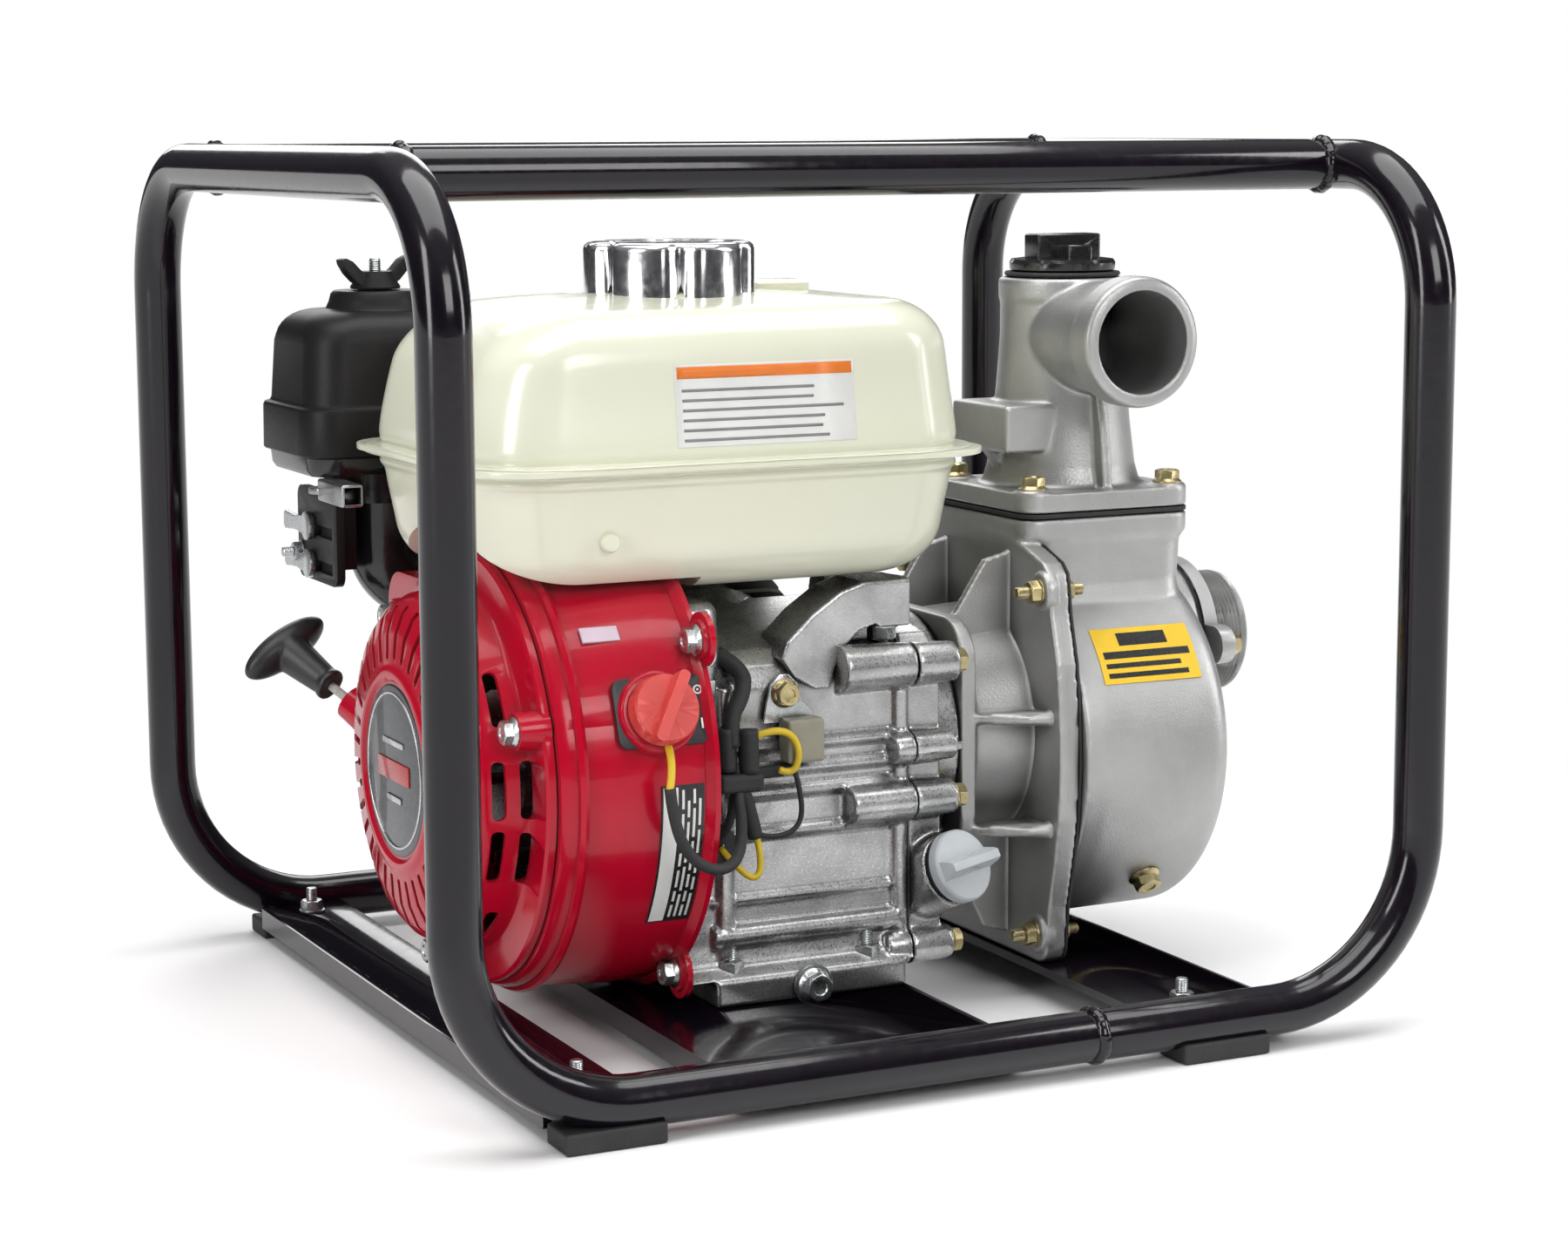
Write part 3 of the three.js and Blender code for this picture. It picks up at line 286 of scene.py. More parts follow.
# Mottle: two sizes of noise over a surface, as a colour between two and a roughness between two, with a
# height.
mottle, mottle_in, mottle_out = node_group(
    "mottle",
    [
        ("Color", "Light", (0.5, 0.5, 0.5, 1)), ("Color", "Dark", (0.3, 0.3, 0.3, 1)),
        ("Float", "Patch Scale", 40), ("Float", "Grain Scale", 900),
        ("Float", "Rough Low", 0.4), ("Float", "Rough High", 0.5),
    ],
    [("Color", "Color"), ("Float", "Roughness"), ("Float", "Height")],
)
place = node(mottle, "TexCoord")
patches = node(mottle, "TexNoise", {"Detail": 4, "Roughness": 0.6})
grain = node(mottle, "TexNoise", {"Detail": 2, "Roughness": 0.5})
spread = node(mottle, "MapRange", {"From Min": 0.3, "From Max": 0.7})
tone = node(mottle, "Mix", data_type="RGBA")
polish = node(mottle, "MapRange", {"From Min": 0.3, "From Max": 0.7})
mottle.links.new(place.outputs["Object"], patches.inputs["Vector"])
mottle.links.new(place.outputs["Object"], grain.inputs["Vector"])
mottle.links.new(mottle_in.outputs["Patch Scale"], patches.inputs["Scale"])
mottle.links.new(mottle_in.outputs["Grain Scale"], grain.inputs["Scale"])
mottle.links.new(patches.outputs["Fac"], spread.inputs["Value"])
mottle.links.new(spread.outputs["Result"], tone.inputs[0])
mottle.links.new(mottle_in.outputs["Dark"], tone.inputs[6])
mottle.links.new(mottle_in.outputs["Light"], tone.inputs[7])
mottle.links.new(grain.outputs["Fac"], polish.inputs["Value"])
mottle.links.new(mottle_in.outputs["Rough Low"], polish.inputs["To Min"])
mottle.links.new(mottle_in.outputs["Rough High"], polish.inputs["To Max"])
mottle.links.new(tone.outputs[2], mottle_out.inputs["Color"])
mottle.links.new(polish.outputs["Result"], mottle_out.inputs["Roughness"])
mottle.links.new(grain.outputs["Fac"], mottle_out.inputs["Height"])

# Edge wear: how far the surface turns within a small distance, as a mask that is broken up by noise.
edge_wear, wear_in, wear_out = node_group(
    "edge_wear",
    [("Float", "Width", 0.0008), ("Float", "Amount", 0.5), ("Color", "Base", (0, 0, 0, 1)),
     ("Color", "Worn", (1, 1, 1, 1))],
    [("Color", "Color"), ("Float", "Mask")],
)
rounded_normal = node(edge_wear, "Bevel", samples=4)
true_normal = node(edge_wear, "NewGeometry")
turned_by = node(edge_wear, "VectorMath", operation="DOT_PRODUCT")
sharpness = node(edge_wear, "MapRange", {"From Min": 0.995, "From Max": 0.9})
wear_place = node(edge_wear, "TexCoord")
breaks = node(edge_wear, "TexNoise", {"Scale": 160, "Detail": 3})
broken = node(edge_wear, "MapRange", {"From Min": 0.4, "From Max": 0.62})
worn = node(edge_wear, "Math", operation="MULTIPLY")
amount = node(edge_wear, "Math", operation="MULTIPLY")
worn_tone = node(edge_wear, "Mix", data_type="RGBA")
edge_wear.links.new(wear_in.outputs["Width"], rounded_normal.inputs["Radius"])
edge_wear.links.new(rounded_normal.outputs["Normal"], turned_by.inputs[0])
edge_wear.links.new(true_normal.outputs["Normal"], turned_by.inputs[1])
edge_wear.links.new(turned_by.outputs["Value"], sharpness.inputs["Value"])
edge_wear.links.new(wear_place.outputs["Object"], breaks.inputs["Vector"])
edge_wear.links.new(breaks.outputs["Fac"], broken.inputs["Value"])
edge_wear.links.new(sharpness.outputs["Result"], worn.inputs[0])
edge_wear.links.new(broken.outputs["Result"], worn.inputs[1])
edge_wear.links.new(worn.outputs[0], amount.inputs[0])
edge_wear.links.new(wear_in.outputs["Amount"], amount.inputs[1])
edge_wear.links.new(amount.outputs[0], worn_tone.inputs[0])
edge_wear.links.new(wear_in.outputs["Base"], worn_tone.inputs[6])
edge_wear.links.new(wear_in.outputs["Worn"], worn_tone.inputs[7])
edge_wear.links.new(worn_tone.outputs[2], wear_out.inputs["Color"])
edge_wear.links.new(amount.outputs[0], wear_out.inputs["Mask"])

# Painted shade: darkens what lies deep between other surfaces, found by ambient occlusion, as if shade fell
# there.
hollow_shade, hollow_shade_in, hollow_shade_out = node_group(
    "hollow_shade",
    [("Float", "Reach", 0.012), ("Float", "Amount", 0.5), ("Color", "Base", (0, 0, 0, 1)),
     ("Color", "Shade", (0.05, 0.045, 0.04, 1))],
    [("Color", "Color")],
)
# Painted shade: the occlusion term below decides where the colour is darkened.
hidden = node(hollow_shade, "AmbientOcclusion", samples=4)
depth = node(hollow_shade, "MapRange", {"From Min": 0.85, "From Max": 0.25})
shade_share = node(hollow_shade, "Math", operation="MULTIPLY")
shade_tone = node(hollow_shade, "Mix", data_type="RGBA")
hollow_shade.links.new(hollow_shade_in.outputs["Reach"], hidden.inputs["Distance"])
hollow_shade.links.new(hidden.outputs["AO"], depth.inputs["Value"])
hollow_shade.links.new(depth.outputs["Result"], shade_share.inputs[0])
hollow_shade.links.new(hollow_shade_in.outputs["Amount"], shade_share.inputs[1])
hollow_shade.links.new(shade_share.outputs[0], shade_tone.inputs[0])
hollow_shade.links.new(hollow_shade_in.outputs["Base"], shade_tone.inputs[6])
hollow_shade.links.new(hollow_shade_in.outputs["Shade"], shade_tone.inputs[7])
hollow_shade.links.new(shade_tone.outputs[2], hollow_shade_out.inputs["Color"])


def finish(name, light, dark, patch=40, grain_size=900, rough=(0.4, 0.5), relief=0.0, wear=0.0, worn_to=None,
           painted_shade=0.0, reach=0.012, **plain):
    """A material built from the groups above. Plain values go on the shader's own sockets, such as
    Metallic."""
    made = bpy.data.materials.new(name)
    made.use_nodes = True
    tree = made.node_tree
    shader = tree.nodes["Principled BSDF"]
    for socket, value in plain.items():
        shader.inputs[socket.replace("_", " ")].default_value = value
    surface = node(tree, "Group", node_tree=mottle)
    surface.inputs["Light"].default_value = (*light, 1)
    surface.inputs["Dark"].default_value = (*dark, 1)
    surface.inputs["Patch Scale"].default_value = patch
    surface.inputs["Grain Scale"].default_value = grain_size
    surface.inputs["Rough Low"].default_value = rough[0]
    surface.inputs["Rough High"].default_value = rough[1]
    colour = surface.outputs["Color"]
    if wear:
        edges = node(tree, "Group", {"Amount": wear, "Worn": (*worn_to, 1)}, node_tree=edge_wear)
        tree.links.new(colour, edges.inputs["Base"])
        colour = edges.outputs["Color"]
    # Painted shade: an ambient-occlusion mask darkens the colour in hollows and between parts.
    if painted_shade:
        corners = node(tree, "Group", {"Amount": painted_shade, "Reach": reach}, node_tree=hollow_shade)
        tree.links.new(colour, corners.inputs["Base"])
        colour = corners.outputs["Color"]
    tree.links.new(colour, shader.inputs["Base Color"])
    tree.links.new(surface.outputs["Roughness"], shader.inputs["Roughness"])
    if relief:
        bump = node(tree, "Bump", {"Strength": 1.0, "Distance": relief})
        tree.links.new(surface.outputs["Height"], bump.inputs["Height"])
        tree.links.new(bump.outputs["Normal"], shader.inputs["Normal"])
    return made


black_enamel = finish(
    "black_enamel", (0.006, 0.0035, 0.007), (0.003, 0.002, 0.004), patch=25, grain_size=220,
    rough=(0.12, 0.20), relief=0.00003, wear=0.3, worn_to=(0.06, 0.055, 0.05), Coat_Weight=0.3,
    Coat_Roughness=0.05, Specular_IOR_Level=0.35,
)

tube_r = (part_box("top_rail_near")[1].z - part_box("top_rail_near")[0].z) / 2
frame_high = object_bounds()[1]
leg = Vector((frame_high[0] - tube_r, frame_high[1] - tube_r, 0))
weld_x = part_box("frame_hoop_engine_end")[1].x
tube_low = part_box("frame_hoop_engine_end")[0].z + tube_r
tube_high = frame_high[2] - tube_r
bottom_bend, top_bend = 0.075, 0.060
quarter = math.pi / 2
for side, hoop_name in ((-1, "frame_hoop_engine_end"), (1, "frame_hoop_pump_end")):
    start_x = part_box(hoop_name)[1].x if side < 0 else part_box(hoop_name)[0].x
    run = leg.x - side * start_x - bottom_bend
    rise = tube_high - tube_low - bottom_bend - top_bend
    across = 2 * leg.y - 2 * top_bend
    hoop = bent_tube(
        hoop_name + "_tube", (start_x, -leg.y, tube_low), X * side, tube_r,
        [
            run, (Z, bottom_bend, quarter), rise, (Y, top_bend, quarter), across,
            (-Z, top_bend, quarter), rise, (-X * side, bottom_bend, quarter), run,
        ],
    )
    eased(hoop, 0.0006)
    fitted(hoop, black_enamel, "pump_set", "frame_enamel", hoop_name)

for rail_name in ("top_rail_near", "top_rail_far"):
    low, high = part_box(rail_name)
    rail_y = (low.y + high.y) / 2
    rail = bent_tube(rail_name + "_tube", (low.x, rail_y, tube_high), X, tube_r, [high.x - low.x])
    eased(rail, 0.0006)
    fitted(rail, black_enamel, "pump_set", "frame_enamel", rail_name)


# Weld beads
# Each joint of the frame is a run of overlapping puddles round the tube, sprayed over with the rest.
def weld_bead(name, centre, axis, radius, puddles=26, size=0.0034):
    """One puddle, a flattened ball, copied round a ring with small changes of size and place."""
    random.seed(len(name) * 31 + puddles)
    around = Vector(axis).to_track_quat("Z", "Y")
    beads = []
    for step in range(puddles):
        angle = 2 * math.pi * step / puddles
        drift = random.uniform(-0.0005, 0.0005)
        spot = Vector(centre) + around @ Vector((radius * math.cos(angle), radius * math.sin(angle), drift))
        bpy.ops.object.select_all(action="DESELECT")
        bpy.ops.mesh.primitive_uv_sphere_add(segments=12, ring_count=8, radius=size, location=spot)
        bpy.ops.transform.resize(value=(1, 1, random.uniform(0.75, 1.05)), center_override=spot)
        beads.append(settled(name))
    bead = joined(name, *beads)
    modified(bead, "REMESH", mode="VOXEL", voxel_size=0.0006)
    modified(bead, "SMOOTH", factor=0.5, iterations=3)
    only(bead)
    bpy.ops.object.shade_smooth()
    fitted(bead, black_enamel, "pump_set", "frame_enamel")


for side, word in ((-1, "near"), (1, "far")):
    weld_bead("butt_weld_" + word, (weld_x, side * leg.y, tube_low), X, tube_r - 0.0012)
    rail_y = side * abs(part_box("top_rail_near")[0].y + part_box("top_rail_near")[1].y) / 2
    for end, end_word in ((-1, "engine_end"), (1, "pump_end")):
        spot = (end * (leg.x - tube_r * 0.86), rail_y, tube_high)
        weld_bead(f"rail_weld_{word}_{end_word}", spot, X, tube_r - 0.0010)


# Cross plates
# Flat steel with the edges folded down for stiffness, welded between the bottom tubes. The engine stands on
# the wide one, and the pump bracket over the one beside it.
def plate_with_lips(name, low, high, thickness, drop, lips):
    bpy.ops.object.select_all(action="DESELECT")
    middle = ((low.x + high.x) / 2, (low.y + high.y) / 2, high.z - thickness / 2)
    bpy.ops.mesh.primitive_cube_add(size=1, location=middle)
    bpy.context.object.scale = (high.x - low.x, high.y - low.y, thickness)
    piece = settled(name)
    for lip in lips:
        edge_x = low.x if lip < 0 else high.x
        bpy.ops.object.mode_set(mode="EDIT")
        bpy.ops.mesh.select_all(action="DESELECT")
        bpy.ops.mesh.select_mode(type="FACE")
        bpy.ops.object.mode_set(mode="OBJECT")
        inner = edge_x - lip * thickness
        bpy.ops.object.mode_set(mode="EDIT")
        bpy.ops.mesh.select_all(action="SELECT")
        bpy.ops.mesh.bisect(plane_co=(inner, 0, 0), plane_no=(1, 0, 0))
        bpy.ops.object.mode_set(mode="OBJECT")
        for face in piece.data.polygons:
            face.select = face.normal.z < -0.9 and (face.center.x - inner) * lip > 0
        bpy.ops.object.mode_set(mode="EDIT")
        bpy.ops.mesh.extrude_region_move(TRANSFORM_OT_translate={"value": (0, 0, -drop)})
        bpy.ops.object.mode_set(mode="OBJECT")
    return piece


plates = {"crossmember_engine_end": (-1,), "crossmember_engine_mount": (-1, 1), "crossmember_pump_end": (1,)}
for plate_name, lips in plates.items():
    low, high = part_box(plate_name)
    plate = plate_with_lips(plate_name + "_plate", low, high, 0.0038, high.z - low.z - 0.0038, lips)
    eased(plate, 0.0009)
    fitted(plate, black_enamel, "pump_set", "frame_enamel", plate_name)


# Fuel tank
# Two deep-drawn steel shells, seam-welded round a flat flange and sprayed cream white. The lower shell is
# dished to clear the fan shroud, and the filler neck is pressed up out of the upper one.
def rounded_corners(low, high, radius, steps=10):
    """The outline of a rectangle with round corners, as (a, b) points."""
    points = []
    corners = [(high[0], high[1], 0), (low[0], high[1], 1), (low[0], low[1], 2), (high[0], low[1], 3)]
    for a, b, quadrant in corners:
        centre_a = a - radius if a == high[0] else a + radius
        centre_b = b - radius if b == high[1] else b + radius
        for step in range(steps + 1):
            angle = (quadrant + step / steps) * quarter
            points.append((centre_a + radius * math.cos(angle), centre_b + radius * math.sin(angle)))
    return points


def drawn(name, points):
    """A closed line: one point, pulled out from corner to corner, and closed."""
    points = [Vector(point) for point in points]
    bpy.ops.object.select_all(action="DESELECT")
    bpy.ops.mesh.primitive_circle_add(vertices=3, radius=0.0001, location=points[0])
    piece = settled(name)
    bpy.ops.object.mode_set(mode="EDIT")
    bpy.ops.mesh.select_mode(type="VERT")
    bpy.ops.mesh.select_all(action="SELECT")
    bpy.ops.mesh.merge(type="CENTER")
    for start, end in zip(points, points[1:] + points[:1]):
        bpy.ops.mesh.extrude_vertices_move(TRANSFORM_OT_translate={"value": end - start})
    bpy.ops.mesh.select_all(action="SELECT")
    bpy.ops.mesh.remove_doubles(threshold=1e-6)
    bpy.ops.object.mode_set(mode="OBJECT")
    return piece


PLANES = {
    "x": lambda a, b, along: Vector((along, a, b)),
    "y": lambda a, b, along: Vector((a, along, b)),
    "z": lambda a, b, along: Vector((a, b, along)),
}
ALONG = {"x": X, "y": Y, "z": Z}


def slab(name, axis, outline, start, end):
    """A plate of any outline: drawn, filled, and pulled out along an axis."""
    piece = drawn(name, [PLANES[axis](a, b, start) for a, b in outline])
    only(piece)
    bpy.ops.object.mode_set(mode="EDIT")
    bpy.ops.mesh.select_all(action="SELECT")
    bpy.ops.mesh.edge_face_add()
    bpy.ops.mesh.extrude_region_move(TRANSFORM_OT_translate={"value": ALONG[axis] * (end - start)})
    bpy.ops.mesh.select_all(action="SELECT")
    bpy.ops.mesh.normals_make_consistent(inside=False)
    bpy.ops.object.mode_set(mode="OBJECT")
    return piece


def stacked(name, rings, steps=10):
    """A shell of rounded rectangles one above the other: (z, low, high, corner radius), closed at both
    ends."""
    z, low, high, radius = rings[0]
    piece = drawn(name, [(a, b, z) for a, b in rounded_corners(low, high, radius, steps)])
    only(piece)
    bpy.ops.object.mode_set(mode="EDIT")
    bpy.ops.mesh.select_all(action="SELECT")
    bpy.ops.mesh.edge_face_add()
    for ring_z, *_ in rings[1:]:
        bpy.ops.mesh.extrude_region_move(TRANSFORM_OT_translate={"value": (0, 0, ring_z - z)})
        z = ring_z
    bpy.ops.object.mode_set(mode="OBJECT")
    count = 4 * (steps + 1)
    by_height = sorted(piece.data.vertices, key=lambda v: v.co.z * (1 if rings[-1][0] > rings[0][0] else -1))
    for index, (ring_z, low, high, radius) in enumerate(rings):
        outline = rounded_corners(low, high, radius, steps)
        first_low, first_high, first_radius = rings[0][1:]
        first = rounded_corners(first_low, first_high, first_radius, steps)
        for vertex in by_height[index * count:(index + 1) * count]:
            nearest = min(range(count),
                          key=lambda i: (first[i][0] - vertex.co.x) ** 2 + (first[i][1] - vertex.co.y) ** 2)
            vertex.co.x, vertex.co.y = outline[nearest]
    return merged(piece)


def inset_level(z, low, high, inset, radius):
    """One level of a stacked shell, drawn in from a box by the same inset all round."""
    return z, (low[0] + inset, low[1] + inset), (high[0] - inset, high[1] - inset), radius


def turned(name, axis, centre, profile, steps=72):
    """A body of revolution: (radius, place along the axis) points, closed on themselves or on the axis."""
    centre = Vector(centre)
    along = ALONG[axis]
    out = X if axis == "z" else Z
    piece = drawn(name, [centre + out * radius + along * height for radius, height in profile])
    only(piece)
    bpy.ops.object.mode_set(mode="EDIT")
    bpy.ops.mesh.select_all(action="SELECT")
    bpy.ops.mesh.spin(steps=steps, angle=2 * math.pi, center=centre, axis=along)
    bpy.ops.object.mode_set(mode="OBJECT")
    return merged(piece, 2e-6)


def boolean(piece, tool, operation="DIFFERENCE", solver="MANIFOLD"):
    """Cuts a tool out of a piece, or joins it on, and removes the tool."""
    modified(piece, "BOOLEAN", object=tool, operation=operation, solver=solver)
    bpy.data.objects.remove(tool)
    return piece


def rod(name, start, end, radius, end_radius=None, sides=48):
    """A straight round bar, or a cone, from one point to another."""
    start, end = Vector(start), Vector(end)
    bpy.ops.object.select_all(action="DESELECT")
    bpy.ops.mesh.primitive_cone_add(
        vertices=sides, radius1=radius, radius2=radius if end_radius is None else end_radius,
        depth=(end - start).length, location=(start + end) / 2, rotation=facing(end - start),
    )
    return settled(name)


tank_low, tank_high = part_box("fuel_tank_lower")[0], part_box("fuel_tank_upper")[1]
seam_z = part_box("fuel_tank_lower")[1].z
seam_flange = 0.008  # how far the flange stands out
body_low = (tank_low.x + seam_flange, tank_low.y + seam_flange - 0.001)
body_high = (tank_high.x - seam_flange, tank_high.y - seam_flange + 0.001)


def tank_ring(z, inset, radius):
    """One level of the tank body, drawn in evenly from the seam."""
    low = (body_low[0] + inset, body_low[1] + inset)
    high = (body_high[0] - inset, body_high[1] - inset)
    return (z, low, high, radius)


def crowned(levels, corner, flange_z, wall_z):
    """Levels of a shell, from its seam flange to the middle of its crown."""
    flange = [
        (flange_z, (tank_low.x, tank_low.y), (tank_high.x, tank_high.y), corner + seam_flange),
        (wall_z, (tank_low.x, tank_low.y), (tank_high.x, tank_high.y), corner + seam_flange),
    ]
    return flange + [tank_ring(z, inset, max(corner - inset * 0.55, 0.004)) for z, inset in levels]


sheet_t = 0.0021
top_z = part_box("fuel_tank_upper")[1].z - 0.008


def drawn_shell(direction, wall, draft, shoulder, crown, groove):
    """Levels of a pressed shell as (z, inset): a groove by the seam, a wall, a round shoulder and a low
    crown."""
    levels = [(seam_z + direction * (sheet_t + 0.0002), 0.0020)]
    levels += [(seam_z + direction * rise, inset) for rise, inset in groove]
    start_z, start_inset = wall, draft
    levels.append((seam_z + direction * (start_z * 0.6), start_inset * 0.6))
    for step in range(8):
        angle = quarter * step / 7
        z = start_z + shoulder * math.sin(angle)
        levels.append((seam_z + direction * z, start_inset + shoulder * (1 - math.cos(angle))))
    end_inset = start_inset + shoulder
    for share in (0.35, 0.7, 1.0):
        inset = end_inset + share * (0.086 - end_inset)
        levels.append((seam_z + direction * (start_z + shoulder + crown * share), inset))
    return levels


upper_levels = drawn_shell(1, top_z - seam_z - 0.0275, 0.0045, 0.0245, 0.0030,
                           [(0.0045, 0.0004), (0.009, 0.0002)])
upper = stacked("fuel_tank_top_shell", crowned(upper_levels, 0.040, seam_z + 0.0001, seam_z + sheet_t))
for vertex in upper.data.vertices:
    height = max(0.0, (vertex.co.z - seam_z - 0.02) / (top_z - seam_z - 0.02))
    starter_end = max(0.0, (-0.100 - vertex.co.x) / 0.070)
    vertex.co.z -= 0.0115 * min(starter_end, 1.0) ** 1.6 * min(height, 1.0)
    vertex.co.x += 0.010 * min(starter_end, 1.0) ** 2 * min(height, 1.0) ** 2
modified(upper, "SUBSURF", levels=2, render_levels=2)

cap_low, cap_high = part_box("fuel_cap")
cap_centre = Vector(((cap_low.x + cap_high.x) / 2, (cap_low.y + cap_high.y) / 2, 0))
gasket_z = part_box("fuel_cap_gasket")[0].z
neck = turned(
    "fuel_neck", "z", cap_centre,
    [
        (0.0215, gasket_z - 0.030), (0.034, gasket_z - 0.016), (0.034, gasket_z - 0.0090),
        (0.0300, gasket_z - 0.0070), (0.0270, gasket_z - 0.0045), (0.0262, gasket_z - 0.0003),
        (0.0215, gasket_z - 0.0003),
    ],
)
boolean(upper,
        rod("neck_hole", cap_centre + Z * (top_z - 0.055), cap_centre + Z * (top_z + 0.02), 0.0214, sides=72))
boolean(upper, neck, "UNION")
pad_low = (0.001, 0.001)
pad_high = (0.027, 0.023)
pad = stacked("lifting_pad", [
    inset_level(top_z - 0.010, pad_low, pad_high, 0, 0.006),
    inset_level(top_z + 0.0012, pad_low, pad_high, 0, 0.006),
    inset_level(top_z + 0.0026, pad_low, pad_high, 0.003, 0.004),
], 6)
boolean(upper, pad, "UNION")

lower_levels = drawn_shell(
    -1, seam_z - tank_low.z - 0.0265, 0.0060, 0.0250, 0.0015,
    [(0.0045, 0.0005), (0.0066, 0.0003), (0.0084, 0.0020), (0.0100, 0.0026)],
)
lower = stacked("fuel_tank_bottom_shell", crowned(lower_levels, 0.040, seam_z, seam_z - sheet_t))
modified(lower, "SUBSURF", levels=2, render_levels=2)
shroud_r = 0.1075
dish = rod("dish", (tank_low.x - 0.05, crank.y, crank.z), (-0.070, crank.y, crank.z), shroud_r, sides=128)
boolean(lower, dish)
eased(lower, 0.0015, 3, 34)

tank_enamel = finish(
    "cream_enamel", (0.72, 0.725, 0.585), (0.69, 0.695, 0.555), patch=9, grain_size=150, rough=(0.20, 0.27),
    relief=0.00003, Coat_Weight=0.5, Coat_Roughness=0.10,
)
only(upper)
bpy.ops.object.shade_smooth_by_angle(angle=math.radians(38))
fitted(upper, tank_enamel, "pump_set", "tank_enamel", "fuel_tank_upper")
fitted(lower, tank_enamel, "pump_set", "tank_enamel", "fuel_tank_lower")

# The rolled edge that closes the seam between the two shells.
outer_edge = inset_level(seam_z, tank_low, tank_high, 0.0018, 0.0320)[1:]
inner_edge = inset_level(seam_z, tank_low, tank_high, 0.0125, 0.022)[1:]
rolled_edge = slab("tank_rolled_edge", "z", rounded_corners(*outer_edge, 14), seam_z - 0.0013,
                   seam_z + 0.0013)
edge_room = slab("edge_room", "z", rounded_corners(*inner_edge, 14), seam_z - 0.01, seam_z + 0.01)
boolean(rolled_edge, edge_room)
eased(rolled_edge, 0.0006, 3)
fitted(rolled_edge, tank_enamel, "pump_set", "tank_enamel")

dimple = turned(
    "tank_test_mark", "y", (-0.117, body_low[1] + 0.0036, seam_z - 0.031),
    [(0, -0.0012), (0.0034, -0.0012), (0.0042, 0.0004), (0.0042, 0.004), (0, 0.004)], 32,
)
eased(dimple, 0.0003, 2)
fitted(dimple, tank_enamel, "pump_set", "tank_enamel")


# Fuel cap and its gasket
# A pressed steel cap, chrome plated, with scalloped sides for the fingers and a rolled skirt. A rubber ring
# seals it on the neck, and both lift off together.
cap_steps = 144
scallops = 6


def cap_outline(radius, bite):
    """A circle with hollows between its lobes."""
    points = []
    for step in range(cap_steps):
        angle = 2 * math.pi * step / cap_steps
        hollow = max(0.0, math.cos(scallops * angle)) ** 2.2
        reach = radius - bite * hollow
        points.append((cap_centre.x + reach * math.cos(angle + 0.26),
                       cap_centre.y + reach * math.sin(angle + 0.26)))
    return points


cap_levels = [
    (cap_low.z + 0.0000, 0.0405, 0.0), (cap_low.z + 0.0002, 0.0415, 0.0), (cap_low.z + 0.0022, 0.0418, 0.0),
    (cap_low.z + 0.0034, 0.0408, 0.0008), (cap_low.z + 0.0042, 0.0388, 0.0040),
    (cap_low.z + 0.0070, 0.0385, 0.0052), (cap_high.z - 0.0036, 0.0385, 0.0054),
    (cap_high.z - 0.0016, 0.0379, 0.0052), (cap_high.z - 0.0005, 0.0366, 0.0048),
    (cap_high.z, 0.0340, 0.0042), (cap_high.z - 0.0003, 0.0290, 0.0020),
    (cap_high.z - 0.0008, 0.0270, 0.0005), (cap_high.z - 0.0008, 0.0180, 0.0),
]
cap = drawn("fuel_cap_shell", [(a, b, cap_levels[0][0]) for a, b in cap_outline(*cap_levels[0][1:])])
only(cap)
bpy.ops.object.mode_set(mode="EDIT")
bpy.ops.mesh.select_all(action="SELECT")
bpy.ops.mesh.edge_face_add()
for level in range(1, len(cap_levels)):
    rise = cap_levels[level][0] - cap_levels[level - 1][0]
    bpy.ops.mesh.extrude_region_move(TRANSFORM_OT_translate={"value": (0, 0, rise)})
bpy.ops.object.mode_set(mode="OBJECT")
rings = [cap.data.vertices[i:i + cap_steps] for i in range(0, len(cap.data.vertices), cap_steps)]
for vertices, (z, radius, bite) in zip(rings, cap_levels):
    outline = cap_outline(radius, bite)
    for vertex in vertices:
        angle = math.atan2(vertex.co.y - cap_centre.y, vertex.co.x - cap_centre.x) - 0.26
        vertex.co.x, vertex.co.y = outline[round(angle / (2 * math.pi) * cap_steps) % cap_steps]
merged(cap)
boolean(cap, turned("cap_hollow", "z", cap_centre, [
    (0.0195, cap_low.z - 0.01), (0.036, cap_low.z - 0.01), (0.0325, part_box("fuel_cap_gasket")[1].z + 0.0002),
    (0.0195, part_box("fuel_cap_gasket")[1].z + 0.0002),
]))
boolean(cap, rod("cap_spigot", cap_centre + Z * (cap_low.z - 0.012), cap_centre + Z * (cap_high.z - 0.008),
                 0.0192), "UNION")
modified(cap, "BEVEL", width=0.0004, segments=2, limit_method="ANGLE", angle_limit=0.9)
only(cap)
bpy.ops.object.shade_smooth_by_angle(angle=math.radians(50))
chrome = finish(
    "chrome_plate", (0.80, 0.80, 0.81), (0.72, 0.72, 0.73), patch=30, grain_size=300, rough=(0.12, 0.20),
    Metallic=1.0,
)
fitted(cap, chrome, "tank_cap", "chrome", "fuel_cap")

rubber = finish(
    "moulded_rubber", (0.022, 0.022, 0.023), (0.012, 0.012, 0.012), patch=60, grain_size=1500,
    rough=(0.55, 0.75), relief=0.00008, wear=0.5, worn_to=(0.05, 0.05, 0.05),
)


